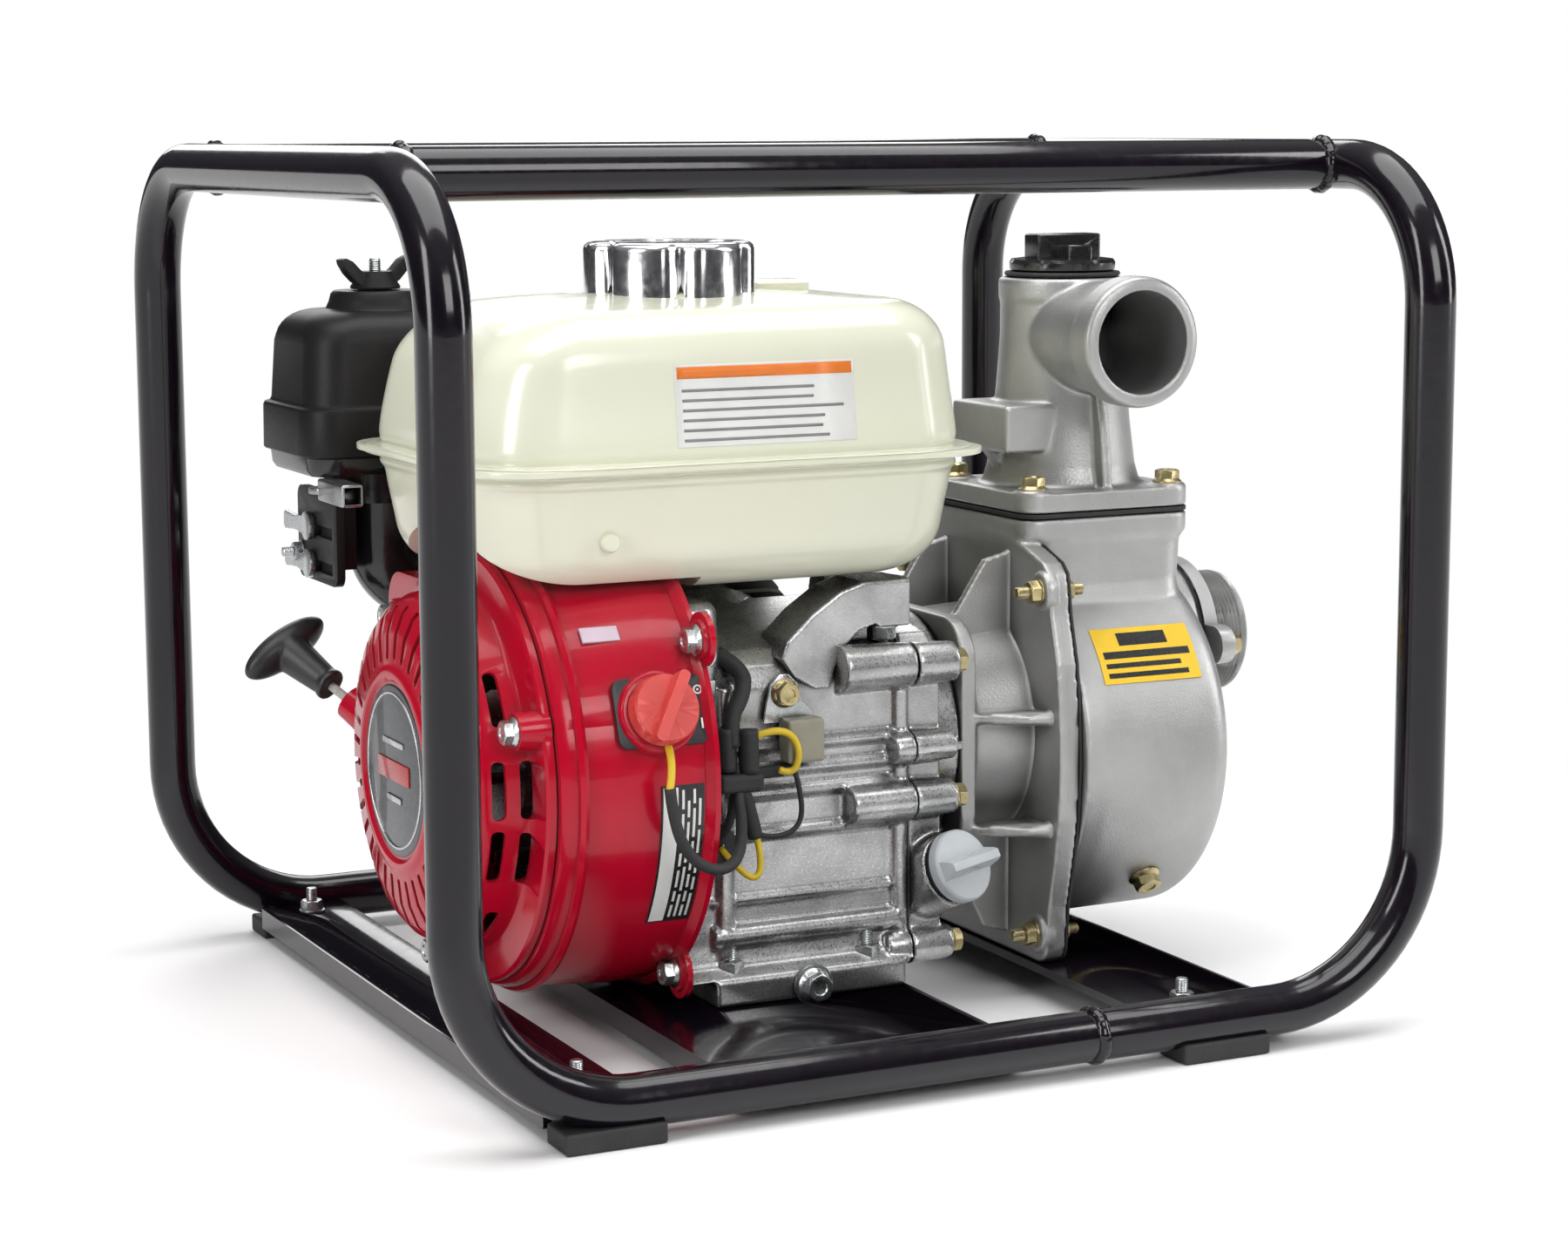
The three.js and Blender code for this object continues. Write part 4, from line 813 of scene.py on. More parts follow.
def washer(name, node_name, axis_name, finish_used, body, slot, bore):
    """A flat ring with rounded edges in the place of its node."""
    low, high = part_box(node_name)
    middle = (low + high) / 2
    outer = (high.x - low.x) / 2 if axis_name == "z" else (high.z - low.z) / 2
    across = {"x": (low.x, high.x), "z": (low.z, high.z)}[axis_name]
    centre = Vector((0, middle.y, middle.z)) if axis_name == "x" else Vector((middle.x, middle.y, 0))
    ring_piece = turned(name, axis_name, centre,
                        [(bore, across[0]), (outer, across[0]), (outer, across[1]), (bore, across[1])])
    eased(ring_piece, 0.0005, 2)
    fitted(ring_piece, finish_used, body, slot, node_name)


washer("fuel_cap_seal_ring", "fuel_cap_gasket", "z", rubber, "tank_cap_seal", "rubber", 0.0202)


# Fan shroud
# A drawn sheet-steel drum round the flywheel fan, with a duct on the far side that blows over the cylinder.
# It is enamelled gloss red, and held to the crankcase by flange bolts through ears on its rear rim.
# Its occlusion amount paints shade into its hollows and joints.
red_enamel = finish(
    "red_enamel", (0.45, 0.002, 0.020), (0.39, 0.0015, 0.016), patch=14, grain_size=260, rough=(0.16, 0.24),
    relief=0.00003, painted_shade=0.6, reach=0.010, Coat_Weight=0.2, Coat_Roughness=0.05, Specular_IOR_Level=0.25,
)
axis_point = Vector((0, crank.y, crank.z))
shroud_low, shroud_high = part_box("fan_shroud")
front, back = shroud_low.x, shroud_high.x
rim_r = crank.z - shroud_low.z
drum_r = rim_r - 0.003
duct_far = shroud_high.y
duct_low = (crank.y - 0.010, crank.z - 0.030)
duct_high = (duct_far, crank.z + 0.074)


def drum_profile(inset, from_x, to_x):
    return [
        (0, from_x), (drum_r - 0.0085 - inset, from_x), (drum_r - 0.0050 - inset, from_x + 0.0012),
        (drum_r - 0.0034 - inset, from_x + 0.0040), (drum_r - 0.0030 - inset, from_x + 0.010),
        (drum_r - inset, -0.1000), (drum_r - inset, to_x), (0, to_x),
    ]


def duct_block(name, inset, from_x, to_x):
    low = (duct_low[0], duct_low[1] + inset)
    high = (duct_high[0] - inset, duct_high[1] - inset)
    return slab(name, "x", rounded_corners(low, high, 0.016), from_x, to_x)


shroud = turned("fan_shroud_pressing", "x", axis_point, drum_profile(0, front, back), 144)
boolean(shroud, duct_block("duct", 0, front, back), "UNION")
rim = turned("rim", "x", axis_point, [
    (drum_r - 0.004, back - 0.0065), (drum_r + 0.0004, back - 0.0058), (rim_r - 0.0010, back - 0.0036),
    (rim_r, back - 0.0024), (rim_r, back), (drum_r - 0.004, back),
], 144)
boolean(shroud, rim, "UNION")
bead = turned("bead", "x", axis_point, [
    (drum_r - 0.006, front + 0.0075), (drum_r - 0.0012, front + 0.0085), (drum_r - 0.0002, front + 0.0105),
    (drum_r - 0.0012, front + 0.0125), (drum_r - 0.006, front + 0.0135),
], 144)
boolean(shroud, bead, "UNION")
ear_places = [
    axis_point + Vector((back, -0.0905, 0.0630)), axis_point + Vector((back, -0.0640, -0.0880)),
    axis_point + Vector((back, 0.0680, -0.0840)),
]
for spot in ear_places:
    boolean(shroud, rod("ear", spot - X * 0.0026, spot, 0.0118), "UNION")
    boolean(shroud, rod("ear_boss", spot - X * 0.0040, spot, 0.0086, 0.0100), "UNION")
inside = turned("inside", "x", axis_point, drum_profile(0.0022, front + 0.0022, back + 0.02), 144)
boolean(inside, duct_block("duct_inside", 0.0022, front + 0.0022, back + 0.02), "UNION")
boolean(shroud, inside)
boolean(shroud,
        rod("mouth", axis_point + X * (front - 0.01), axis_point + X * (front + 0.01), 0.0905, sides=144))
eased(shroud, 0.0013, 3, 30)
fitted(shroud, red_enamel, "pump_set", "red_enamel", "fan_shroud")


# Fasteners
# Flange bolts and nuts, cold-headed and zinc plated: bright on the engine, yellow passivated on the pump.
# Each pattern is made once, and its copies are placed one by one.
# Its occlusion amount paints shade into its hollows and joints.
zinc = finish(
    "bright_zinc", (0.62, 0.64, 0.64), (0.44, 0.46, 0.47), patch=220, grain_size=1200, rough=(0.24, 0.36),
    relief=0.00003, wear=0.5, worn_to=(0.80, 0.80, 0.80), painted_shade=0.5, reach=0.004, Metallic=1.0,
)
# Its occlusion amount paints shade into its hollows and joints.
yellow_zinc = finish(
    "yellow_zinc", (0.58, 0.50, 0.26), (0.46, 0.37, 0.20), patch=180, grain_size=1200, rough=(0.26, 0.40),
    relief=0.00003, wear=0.5, worn_to=(0.72, 0.68, 0.52), painted_shade=0.5, reach=0.004, Metallic=1.0,
)


def hex_prism(name, across, low_z, high_z):
    bpy.ops.object.select_all(action="DESELECT")
    bpy.ops.mesh.primitive_cylinder_add(
        vertices=6, radius=across / math.sqrt(3), depth=high_z - low_z, location=(0, 0, (low_z + high_z) / 2)
    )
    return settled(name)


def chamfered_hex(name, across, low_z, high_z):
    """A hexagon whose corners are turned off by a cone, as on every bolt head."""
    head = hex_prism(name, across, low_z, high_z)
    radius = across / 2
    cone = turned("cone", "z", (0, 0, 0), [
        (0, low_z - 0.001), (radius * 1.3, low_z - 0.001), (radius * 1.3, high_z - radius * 0.22),
        (radius * 0.98, high_z), (0, high_z),
    ], 48)
    return boolean(head, cone, "INTERSECT")


bolt_pattern = chamfered_hex("bolt_pattern", 0.010, 0.0008, 0.0062)
bolt_flange = turned("flange", "z", (0, 0, 0),
                     [(0, 0), (0.0069, 0), (0.0069, 0.0008), (0.0054, 0.0022), (0, 0.0022)], 48)
boolean(bolt_pattern, bolt_flange, "UNION")
boolean(bolt_pattern, rod("recess", (0, 0, 0.0056), (0, 0, 0.0072), 0.0026, 0.0034))
eased(bolt_pattern, 0.00022, 2, 25)

nut_pattern = chamfered_hex("nut_pattern", 0.010, 0.0006, 0.0060)
boolean(nut_pattern, rod("plain_washer", (0, 0, 0), (0, 0, 0.0011), 0.0066), "UNION")
thread_turns = [(0.0, 0.0), (0.0029, 0.0)]
for turn_number in range(7):
    level = 0.0056 + turn_number * 0.0009
    thread_turns += [(0.0029, level), (0.0025, level + 0.00045)]
stud = turned("stud", "z", (0, 0, 0), thread_turns + [(0.0029, 0.0119), (0.0023, 0.0125), (0.0, 0.0125)], 32)
boolean(nut_pattern, stud, "UNION")
eased(nut_pattern, 0.00018, 2, 25)


def fastener(pattern, name, at, along, across, plating, body, slot="steel"):
    """A copy of a pattern, scaled to its size across the flats and turned to face along its axis."""
    piece = pattern.copy()
    piece.data = pattern.data.copy()
    piece.name = piece.data.name = name
    bpy.context.scene.collection.objects.link(piece)
    turn = Vector(along).to_track_quat("Z", "Y").to_matrix().to_4x4()
    roll = Matrix.Rotation(len(name) * 0.7 + at[1] * 40, 4, "Z")
    scale = Matrix.Diagonal((across / 0.010, across / 0.010, across / 0.010, 1))
    piece.data.transform(Matrix.Translation(Vector(at)) @ turn @ roll @ scale)
    return fitted(piece, plating, body, slot)


for number, spot in enumerate(ear_places, 1):
    fastener(bolt_pattern, f"shroud_bolt_{number}", spot - X * 0.0040, -X, 0.0100, zinc, "pump_set")


# Recoil starter cover
# A deep-drawn cover over the rope reel, with a ring of louvres round its badge, slots in its side wall and
# a flange that three bolts hold to the shroud. It has the same red enamel.
cover_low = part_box("recoil_cover")[0]
face = cover_low.x
cover_back = front - 0.0003
cover_outside = [
    (0.0, face + 0.0016), (0.0392, face + 0.0016), (0.0400, face + 0.0008), (0.0410, face + 0.0001),
    (0.0430, face), (0.0450, face + 0.0008), (0.0470, face + 0.0016), (0.0600, face + 0.0030),
    (0.0690, face + 0.0060), (0.0745, face + 0.0105), (0.0775, face + 0.0160), (0.0800, face + 0.0300),
    (0.0815, face + 0.0325), (0.0850, face + 0.0340), (0.0950, face + 0.0344), (0.0965, face + 0.0354),
    (0.0965, cover_back),
]
cover_inside = [
    (0.0930, cover_back), (0.0780, cover_back), (0.0775, face + 0.0310), (0.0750, face + 0.0165),
    (0.0722, face + 0.0120), (0.0675, face + 0.0082), (0.0595, face + 0.0054), (0.0, face + 0.0042),
]
cover = turned("recoil_cover_pressing", "x", axis_point, cover_outside + cover_inside, 144)


def turned_about_crank(piece, angle):
    piece.data.transform(
        Matrix.Translation(axis_point) @ Matrix.Rotation(angle, 4, "X") @ Matrix.Translation(-axis_point)
    )
    return piece


def block(name, centre, size, ease=0.0):
    bpy.ops.object.select_all(action="DESELECT")
    bpy.ops.mesh.primitive_cube_add(size=1, location=centre)
    bpy.context.object.scale = size
    piece = settled(name)
    if ease:
        modified(piece, "BEVEL", width=ease, segments=3)
    return piece


louvre_count = 34
louvres = []
for number in range(louvre_count):
    middle_r = 0.0605
    slot_block = block("louvre", axis_point + Vector((face + 0.005, 0, middle_r)), (0.022, 0.0034, 0.0235),
                       0.0011)
    louvres.append(turned_about_crank(slot_block, 2 * math.pi * number / louvre_count))
boolean(cover, joined("louvres", *louvres))
side_slots = []
for half_turn in (0, math.pi):
    for degrees, column in ((2, 0.0125), (2, 0.0245), (-20, 0.0125), (-20, 0.0245), (31, 0.0150),
                            (-52, 0.0170)):
        spot = axis_point + Vector((face + 0.0075 + column, -0.080, 0))
        slot_block = block("side_slot", spot, (0.0062, 0.03, 0.0250), 0.0026)
        side_slots.append(turned_about_crank(slot_block, half_turn - math.radians(degrees)))
boolean(cover, joined("side_slots", *side_slots))
screw_angles = (19, 139, 259)
for number, degrees in enumerate(screw_angles, 1):
    lug = rod("lug", (face + 0.0250, crank.y - 0.0885, crank.z), (cover_back, crank.y - 0.0885, crank.z),
              0.0078, 0.0090)
    boolean(cover, turned_about_crank(lug, -math.radians(degrees)), "UNION")
    turn = Matrix.Rotation(-math.radians(degrees), 3, "X")
    seat = Vector((face + 0.0250, crank.y, crank.z)) + turn @ Vector((0, -0.0885, 0))
    fastener(bolt_pattern, f"starter_bolt_{number}", seat, -X, 0.0095, zinc, "pump_set")
rope_axis = Vector(joints["starter_pull"]["axis"])
rope_exit = axis_point + Vector((-0.175, 0.099, 0.014))
guide = rod("guide", rope_exit - rope_axis * 0.030, rope_exit, 0.0105, 0.0085)
boolean(cover, guide, "UNION")
boolean(cover, rod("guide_hole", rope_exit - rope_axis * 0.046, rope_exit + rope_axis * 0.001, 0.0045))
eased(cover, 0.0006, 3, 28)
fitted(cover, red_enamel, "pump_set", "red_enamel", "recoil_cover")

badge_grey = finish(
    "brushed_badge", (0.10, 0.105, 0.11), (0.07, 0.072, 0.078), patch=300, grain_size=2200,
    rough=(0.30, 0.42), relief=0.00002, Metallic=0.7, Coat_Weight=0.3,
)
badge_red = finish("badge_red", (0.42, 0.02, 0.02), (0.34, 0.015, 0.015), patch=90, rough=(0.25, 0.32),
                   Coat_Weight=0.4)
badge_silver = finish("badge_silver", (0.62, 0.62, 0.63), (0.5, 0.5, 0.51), patch=200, rough=(0.22, 0.32),
                      Metallic=1.0)
badge = turned("starter_badge", "x", axis_point, [
    (0, face + 0.0010), (0.0372, face + 0.0010), (0.0380, face + 0.0013), (0.0384, face + 0.0019),
    (0, face + 0.0019),
], 96)
eased(badge, 0.0002, 2)
fitted(badge, badge_grey, "pump_set", "black_plastic")
badge_ring = turned("starter_badge_ring", "x", axis_point, [
    (0.0338, face + 0.0005), (0.0348, face + 0.0005), (0.0350, face + 0.0011), (0.0336, face + 0.0011),
], 96)
eased(badge_ring, 0.0002, 2)
fitted(badge_ring, badge_silver, "pump_set", "steel")
for number, (drop, width, tall, tone_used) in enumerate(
    ((0.0125, 0.026, 0.0028, badge_silver), (0.0, 0.040, 0.0090, badge_red),
     (-0.0125, 0.018, 0.0028, badge_silver)), 1
):
    bar = block(f"starter_badge_bar_{number}", axis_point + Vector((face + 0.0007, 0, drop)),
                (0.0009, width, tall))
    eased(bar, 0.0003, 2)
    fitted(bar, tone_used, "pump_set", "steel")


# Rope reel and starter grip
# The moulded reel turns behind the louvres. Its rope leaves through the guide and ends in a black moulded
# grip, a bar that two fingers pull, with a hollow stem over the knot.
black_plastic = finish(
    "black_moulding", (0.020, 0.020, 0.021), (0.013, 0.013, 0.014), patch=30, grain_size=1800,
    rough=(0.34, 0.46), relief=0.00005, wear=0.4, worn_to=(0.055, 0.055, 0.057),
)
reel_low, reel_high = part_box("starter_reel")
reel_r = (reel_high.z - reel_low.z) / 2
reel = turned("rope_reel_moulding", "x", axis_point, [
    (0.006, reel_low.x), (0.020, reel_low.x), (0.020, reel_low.x + 0.004), (reel_r, reel_low.x + 0.004),
    (reel_r, reel_low.x + 0.006), (reel_r - 0.006, reel_low.x + 0.008), (reel_r - 0.006, reel_low.x + 0.012),
    (reel_r, reel_low.x + 0.014), (reel_r, reel_high.x), (0.006, reel_high.x),
], 96)
eased(reel, 0.0005, 2)
fitted(reel, black_plastic, "recoil_reel", "black_plastic", "starter_reel")

grip_turn = Z.rotation_difference(rope_axis)


def along_rope(distance):
    return rope_exit + rope_axis * distance


def ball(name, centre, size):
    """An egg of three sizes, before it is moulded into something else."""
    bpy.ops.object.select_all(action="DESELECT")
    bpy.ops.mesh.primitive_uv_sphere_add(segments=48, ring_count=32, radius=1, location=(0, 0, 0))
    egg = settled(name)
    egg.data.transform(Matrix.Translation(Vector(centre)) @ Matrix.Diagonal((*size, 1)))
    return egg


grip_bar = ball("grip_bar", (0, 0, 0.046), (0.0238, 0.0102, 0.0082))
grip_bar.data.transform(Matrix.Translation(rope_exit) @ grip_turn.to_matrix().to_4x4())
grip = joined(
    "starter_grip_moulding", grip_bar,
    rod("grip_stem", along_rope(0.014), along_rope(0.044), 0.0066, 0.0098),
    rod("grip_lip", along_rope(0.0135), along_rope(0.0165), 0.0078),
)
modified(grip, "REMESH", mode="VOXEL", voxel_size=0.0007)
modified(grip, "SMOOTH", factor=0.5, iterations=10)
only(grip)
bpy.ops.object.shade_smooth()
fitted(grip, black_plastic, "recoil_grip", "black_plastic", "starter_grip")
rope_white = finish("rope_weave", (0.55, 0.54, 0.50), (0.30, 0.29, 0.27), patch=900, grain_size=2500,
                    rough=(0.7, 0.8), relief=0.0003)
rope = rod("starter_rope", along_rope(-0.0080), along_rope(0.0160), 0.0021, sides=24)
modified(rope, "BEVEL", width=0.0004, segments=2)
rope.data.materials.clear()
rope.data.materials.append(rope_white)
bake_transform(rope)


# Engine switch
# A salmon-red turning knob with a bar to grip, on a round boss of the shroud. A dark plate behind it is
# printed with a stroke for run and a ring for stop, and its yellow earth wire leaves below.
switch_axis = Vector(joints["switch_turn"]["axis"])
switch_at = Vector(joints["switch_turn"]["pos_m"])
switch_turn = Z.rotation_difference(switch_axis).to_matrix().to_4x4()


def on_switch(piece):
    """Moves a piece that was made round the origin to the switch, with its top towards the hand."""
    piece.data.transform(Matrix.Translation(switch_at) @ switch_turn)
    return piece


boss = turned("boss", "z", (0, 0, 0),
              [(0, -0.006), (0.0188, -0.006), (0.0178, 0.0035), (0.0168, 0.0046), (0, 0.0046)], 72)
eased(boss, 0.0008, 2)
boss.name = boss.data.name = "switch_boss"
fitted(on_switch(boss), red_enamel, "pump_set", "red_enamel")
print_white = finish("printed_white", (0.75, 0.75, 0.74), (0.68, 0.68, 0.67), patch=80, rough=(0.4, 0.5))
plate_outline = rounded_corners((-0.0190, -0.0145), (0.0225, 0.0155), 0.0045, 6)
switch_plate = on_switch(slab("switch_plate", "z", plate_outline, 0.0002, 0.0014))
eased(switch_plate, 0.0004, 2)
fitted(switch_plate, black_plastic, "pump_set", "black_plastic", "engine_switch_base")
for mark_name, spot, size in (("run_mark", (0.0198, -0.006), (0.0009, 0.0045)),
                              ("stop_mark_bar", (0.0198, 0.0085), (0.0009, 0.0009))):
    mark = on_switch(block(mark_name, (spot[0], spot[1], 0.0016), (size[0], size[1], 0.0005)))
    eased(mark, 0.00015, 2)
    fitted(mark, print_white, "pump_set", "black_plastic")
stop_ring = turned("stop_mark", "z", (0.0198, 0.0085, 0),
                   [(0.0014, 0.0013), (0.0020, 0.0013), (0.0020, 0.0018), (0.0014, 0.0018)], 32)
fitted(on_switch(stop_ring), print_white, "pump_set", "black_plastic")
switch_red = finish(
    "salmon_moulding", (0.60, 0.055, 0.045), (0.52, 0.045, 0.038), patch=40, grain_size=1500,
    rough=(0.32, 0.42), relief=0.00003, wear=0.4, worn_to=(0.75, 0.20, 0.17),
)
knob = turned("switch_knob_moulding", "z", (0, 0, 0), [
    (0, 0.0052), (0.0146, 0.0052), (0.0150, 0.0060), (0.0146, 0.0125), (0.0138, 0.0136), (0, 0.0136),
], 72)
knob_bar = slab("knob_bar", "z", rounded_corners((-0.0163, -0.0024), (0.0163, 0.0024), 0.0020, 5), 0.0125,
                0.0200)
knob_bar.data.transform(Matrix.Rotation(math.radians(60), 4, "Z"))
boolean(knob, knob_bar, "UNION")
eased(knob, 0.0007, 3, 30)
fitted(on_switch(knob), switch_red, "engine_switch", "switch_plastic", "engine_switch_knob")


# Crankcase
# A pressure die-casting that carries the crankshaft and stands on a machined foot. Flow ribs run along its
# near wall, bosses take the bolts of the side cover, and a lug beside the shroud carries one corner of the
# tank.
# Its occlusion amount paints shade into its hollows and joints.
die_cast = finish(
    "die_cast_aluminium", (0.60, 0.60, 0.60), (0.38, 0.38, 0.38), patch=46, grain_size=900,
    rough=(0.23, 0.38), relief=0.00006, wear=0.45, worn_to=(0.68, 0.68, 0.68), painted_shade=0.85, reach=0.016,
    Metallic=0.9,
)


def cast(piece, grain_width, passes, keep=1.0):
    """Melts a built-up shape into one casting: even skin, filleted corners, and no more faces than it
    needs."""
    modified(piece, "REMESH", mode="VOXEL", voxel_size=grain_width)
    modified(piece, "SMOOTH", factor=0.5, iterations=passes)
    if keep < 1:
        modified(piece, "DECIMATE", ratio=keep)
    only(piece)
    bpy.ops.object.shade_smooth()
    return piece


case_low, case_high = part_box("crankcase")
case_outline = [
    (-0.070, -0.094), (-0.0625, -0.089), (-0.0600, -0.080), (-0.0600, 0.034), (-0.0560, 0.043),
    (-0.048, 0.050), (-0.030, 0.0545), (-0.010, 0.056), (0.034, 0.060), (0.062, 0.010), (0.050, -0.040),
    (0.046, -0.094),
]
case_body = [(crank.y + a, crank.z + b) for a, b in case_outline]
crankcase = slab("crankcase_casting", "x", case_body, case_low.x, case_high.x)
foot_low = (-0.066, -0.070, -0.106)
foot_high = (0.028, 0.104, -0.094)
foot_middle = axis_point + (Vector(foot_low) + Vector(foot_high)) / 2
foot_size = Vector(foot_high) - Vector(foot_low)
crankcase_parts = [crankcase, block("foot", foot_middle, foot_size, 0.0012)]
for rise, rib_radius in ((-0.076, 0.0050), (-0.060, 0.0016), (-0.031, 0.0022), (-0.013, 0.0026),
                         (-0.003, 0.0022), (0.008, 0.0024)):
    rib_spot = axis_point + Vector((-0.0185, -0.0603, rise))
    crankcase_parts.append(rod("rib", rib_spot - X * 0.046, rib_spot + X * 0.046, rib_radius, sides=20))
for run_x, from_z, to_z in ((-0.058, -0.086, 0.036), (0.029, -0.086, 0.040)):
    low_end = axis_point + Vector((run_x, -0.0605, from_z))
    crankcase_parts.append(rod("wall_web", low_end, low_end + Z * (to_z - from_z), 0.0038, sides=20))
bolt_bosses = [
    (-0.063, 0.040, 0.036, 0.0108, 0.0100), (-0.064, 0.002, 0.010, 0.0070, 0.0074),
    (-0.064, -0.022, 0.032, 0.0084, 0.0088), (-0.060, -0.090, 0.012, 0.0072, 0.0082),
]
for a, b, reach, from_radius, to_radius in bolt_bosses:
    spot = axis_point + Vector((case_high.x, a, b))
    crankcase_parts.append(rod("boss", spot - X * reach, spot, from_radius, to_radius, sides=32))
lug_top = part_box("crankcase")[1].z
lug_spot = (axis_point.x - 0.0700, crank.y - 0.050)
crankcase_parts.append(stacked("tank_lug", [
    (0.1480, (lug_spot[0] - 0.012, lug_spot[1] - 0.010), (lug_spot[0] + 0.013, lug_spot[1] + 0.016), 0.006),
    (0.1700, (lug_spot[0] - 0.012, lug_spot[1] - 0.011), (lug_spot[0] + 0.013, lug_spot[1] + 0.014), 0.008),
    (lug_top - 0.004, (lug_spot[0] - 0.011, lug_spot[1] - 0.010),
     (lug_spot[0] + 0.012, lug_spot[1] + 0.012), 0.009),
    (lug_top - 0.0005, (lug_spot[0] - 0.008, lug_spot[1] - 0.007),
     (lug_spot[0] + 0.009, lug_spot[1] + 0.009), 0.007),
], 8))
seat_dir = Vector((0, math.cos(math.radians(25)), math.sin(math.radians(25))))
cylinder_at = axis_point + X * -0.020
crankcase_parts.append(rod("cylinder_seat", cylinder_at + seat_dir * 0.030, cylinder_at + seat_dir * 0.062,
                           0.044))
crankcase = joined("crankcase_casting", *crankcase_parts)
modified(crankcase, "REMESH", mode="VOXEL", voxel_size=0.0009)
boolean(crankcase, rod("crank_room", axis_point - X * 0.056, axis_point + X * (case_high.x + 0.02), 0.050))
boolean(crankcase, rod("cylinder_bore", cylinder_at, cylinder_at + seat_dir * 0.09, 0.034))
boolean(crankcase, rod("crank_bore", axis_point - X * 0.10, axis_point, 0.0132))
cast(crankcase, 0.0009, 5, 0.5)
fitted(crankcase, die_cast, "pump_set", "die_cast", "crankcase")

fastener(bolt_pattern, "tank_lug_bolt", (lug_spot[0] + 0.001, lug_spot[1] - 0.0105, 0.1735), -Y, 0.0100,
         zinc, "pump_set")

drain_at = axis_point + Vector((-0.020, -0.0712, -0.0995))
drain_seat = turned("drain_washer", "y", drain_at,
                    [(0.004, -0.0014), (0.0094, -0.0014), (0.0094, 0.0009), (0.004, 0.0009)], 48)
eased(drain_seat, 0.0003, 2)
fitted(drain_seat, zinc, "pump_set", "steel")
fastener(bolt_pattern, "oil_drain_bolt", drain_at - Y * 0.0012, -Y, 0.0115, zinc, "pump_set")
for number, (a, b) in enumerate(((-0.0560, -0.060), (0.0120, -0.060), (-0.0560, 0.092), (0.0120, 0.092)), 1):
    spot = Vector((a, crank.y + b, crank.z - 0.094))
    fastener(nut_pattern, f"engine_mount_nut_{number}", spot, Z, 0.0120, zinc, "pump_set")


# Crankcase side cover
# The pump-side half of the crankcase, with six bolt bosses round its rim, the round register that the pump
# bracket fits on, and the oil filler spout at its near corner.
side_low, side_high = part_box("crankcase_side_cover")
cover_outline = [
    (-0.062, -0.098), (-0.062, -0.060), (-0.060, 0.034), (-0.056, 0.043), (-0.048, 0.0515), (-0.010, 0.057),
    (0.034, 0.060), (0.060, 0.010), (0.048, -0.040), (0.044, -0.098),
]
rim_x = axis_point.x + 0.050
side_cover = slab("side_cover_casting", "x", [(crank.y + a, crank.z + b) for a, b in cover_outline],
                  side_low.x, rim_x)
side_parts = [side_cover]
cover_bolts = [(-0.064, 0.040), (-0.064, 0.002), (-0.064, -0.022), (-0.060, -0.090), (0.030, 0.062),
               (0.050, -0.062)]
for a, b in cover_bolts:
    spot = axis_point + Vector((side_low.x, a, b))
    girth = 0.0100 if b > 0.030 else 0.0074 if 0 < b < 0.01 else 0.0086
    side_parts.append(rod("boss", spot, (0.0540, spot.y, spot.z), girth, girth - 0.0008, sides=32))
side_parts.append(rod("register", axis_point + X * (rim_x - 0.004), axis_point + X * (side_high.x - 0.0002),
                      0.056, sides=96))
for degrees in range(0, 360, 45):
    radial = Matrix.Rotation(math.radians(degrees), 3, "X") @ Vector((0, 0.045, 0))
    web = block("web", axis_point + X * 0.0565 + radial, (0.010, 0.034, 0.004))
    web.data.transform(
        Matrix.Translation(axis_point + X * 0.0565 + radial) @ Matrix.Rotation(math.radians(degrees), 4, "X")
        @ Matrix.Translation(-(axis_point + X * 0.0565 + radial))
    )
    side_parts.append(web)
oil_axis = Vector(joints["oil_cap_turn"]["axis"])
oil_at = Vector(joints["oil_cap_turn"]["pos_m"])
spout = rod("spout", oil_at - oil_axis * 0.040, oil_at - oil_axis * 0.0004, 0.0190, 0.0168)
room = block("spout_room", (side_low.x + 0.0145, oil_at.y + 0.020, oil_at.z + 0.005), (0.029, 0.10, 0.10))
boolean(spout, room, "INTERSECT")
side_parts.append(spout)
side_cover = joined("side_cover_casting", *side_parts)
modified(side_cover, "REMESH", mode="VOXEL", voxel_size=0.0009)
boolean(side_cover, rod("inside", axis_point + X * (side_low.x - 0.005), axis_point + X * 0.044, 0.048))
boolean(side_cover, rod("shaft_hole", axis_point + X * 0.03, axis_point + X * 0.07, 0.0132))
boolean(side_cover, rod("spout_bore", oil_at - oil_axis * 0.041, oil_at + oil_axis * 0.002, 0.0115))
cast(side_cover, 0.0009, 4, 0.5)
fitted(side_cover, die_cast, "pump_set", "die_cast", "crankcase_side_cover")
for number, (a, b) in enumerate(cover_bolts[:1] + cover_bolts[2:], 1):
    fastener(bolt_pattern, f"side_cover_bolt_{number}", (0.0538, crank.y + a, crank.z + b), X, 0.0100,
             yellow_zinc, "pump_set")

paper_gasket = finish("gasket_paper", (0.11, 0.11, 0.10), (0.07, 0.07, 0.065), patch=200, rough=(0.7, 0.8))
joint_line = slab(
    "side_cover_gasket", "x", [(crank.y + a * 1.004, crank.z + b * 1.002) for a, b in cover_outline],
    case_high.x - 0.0002, side_low.x + 0.0002,
)
boolean(joint_line, rod("gasket_hole", axis_point + X * 0.02, axis_point + X * 0.05, 0.050))
eased(joint_line, 0.0001, 1)
fitted(joint_line, paper_gasket, "pump_set", "rubber")


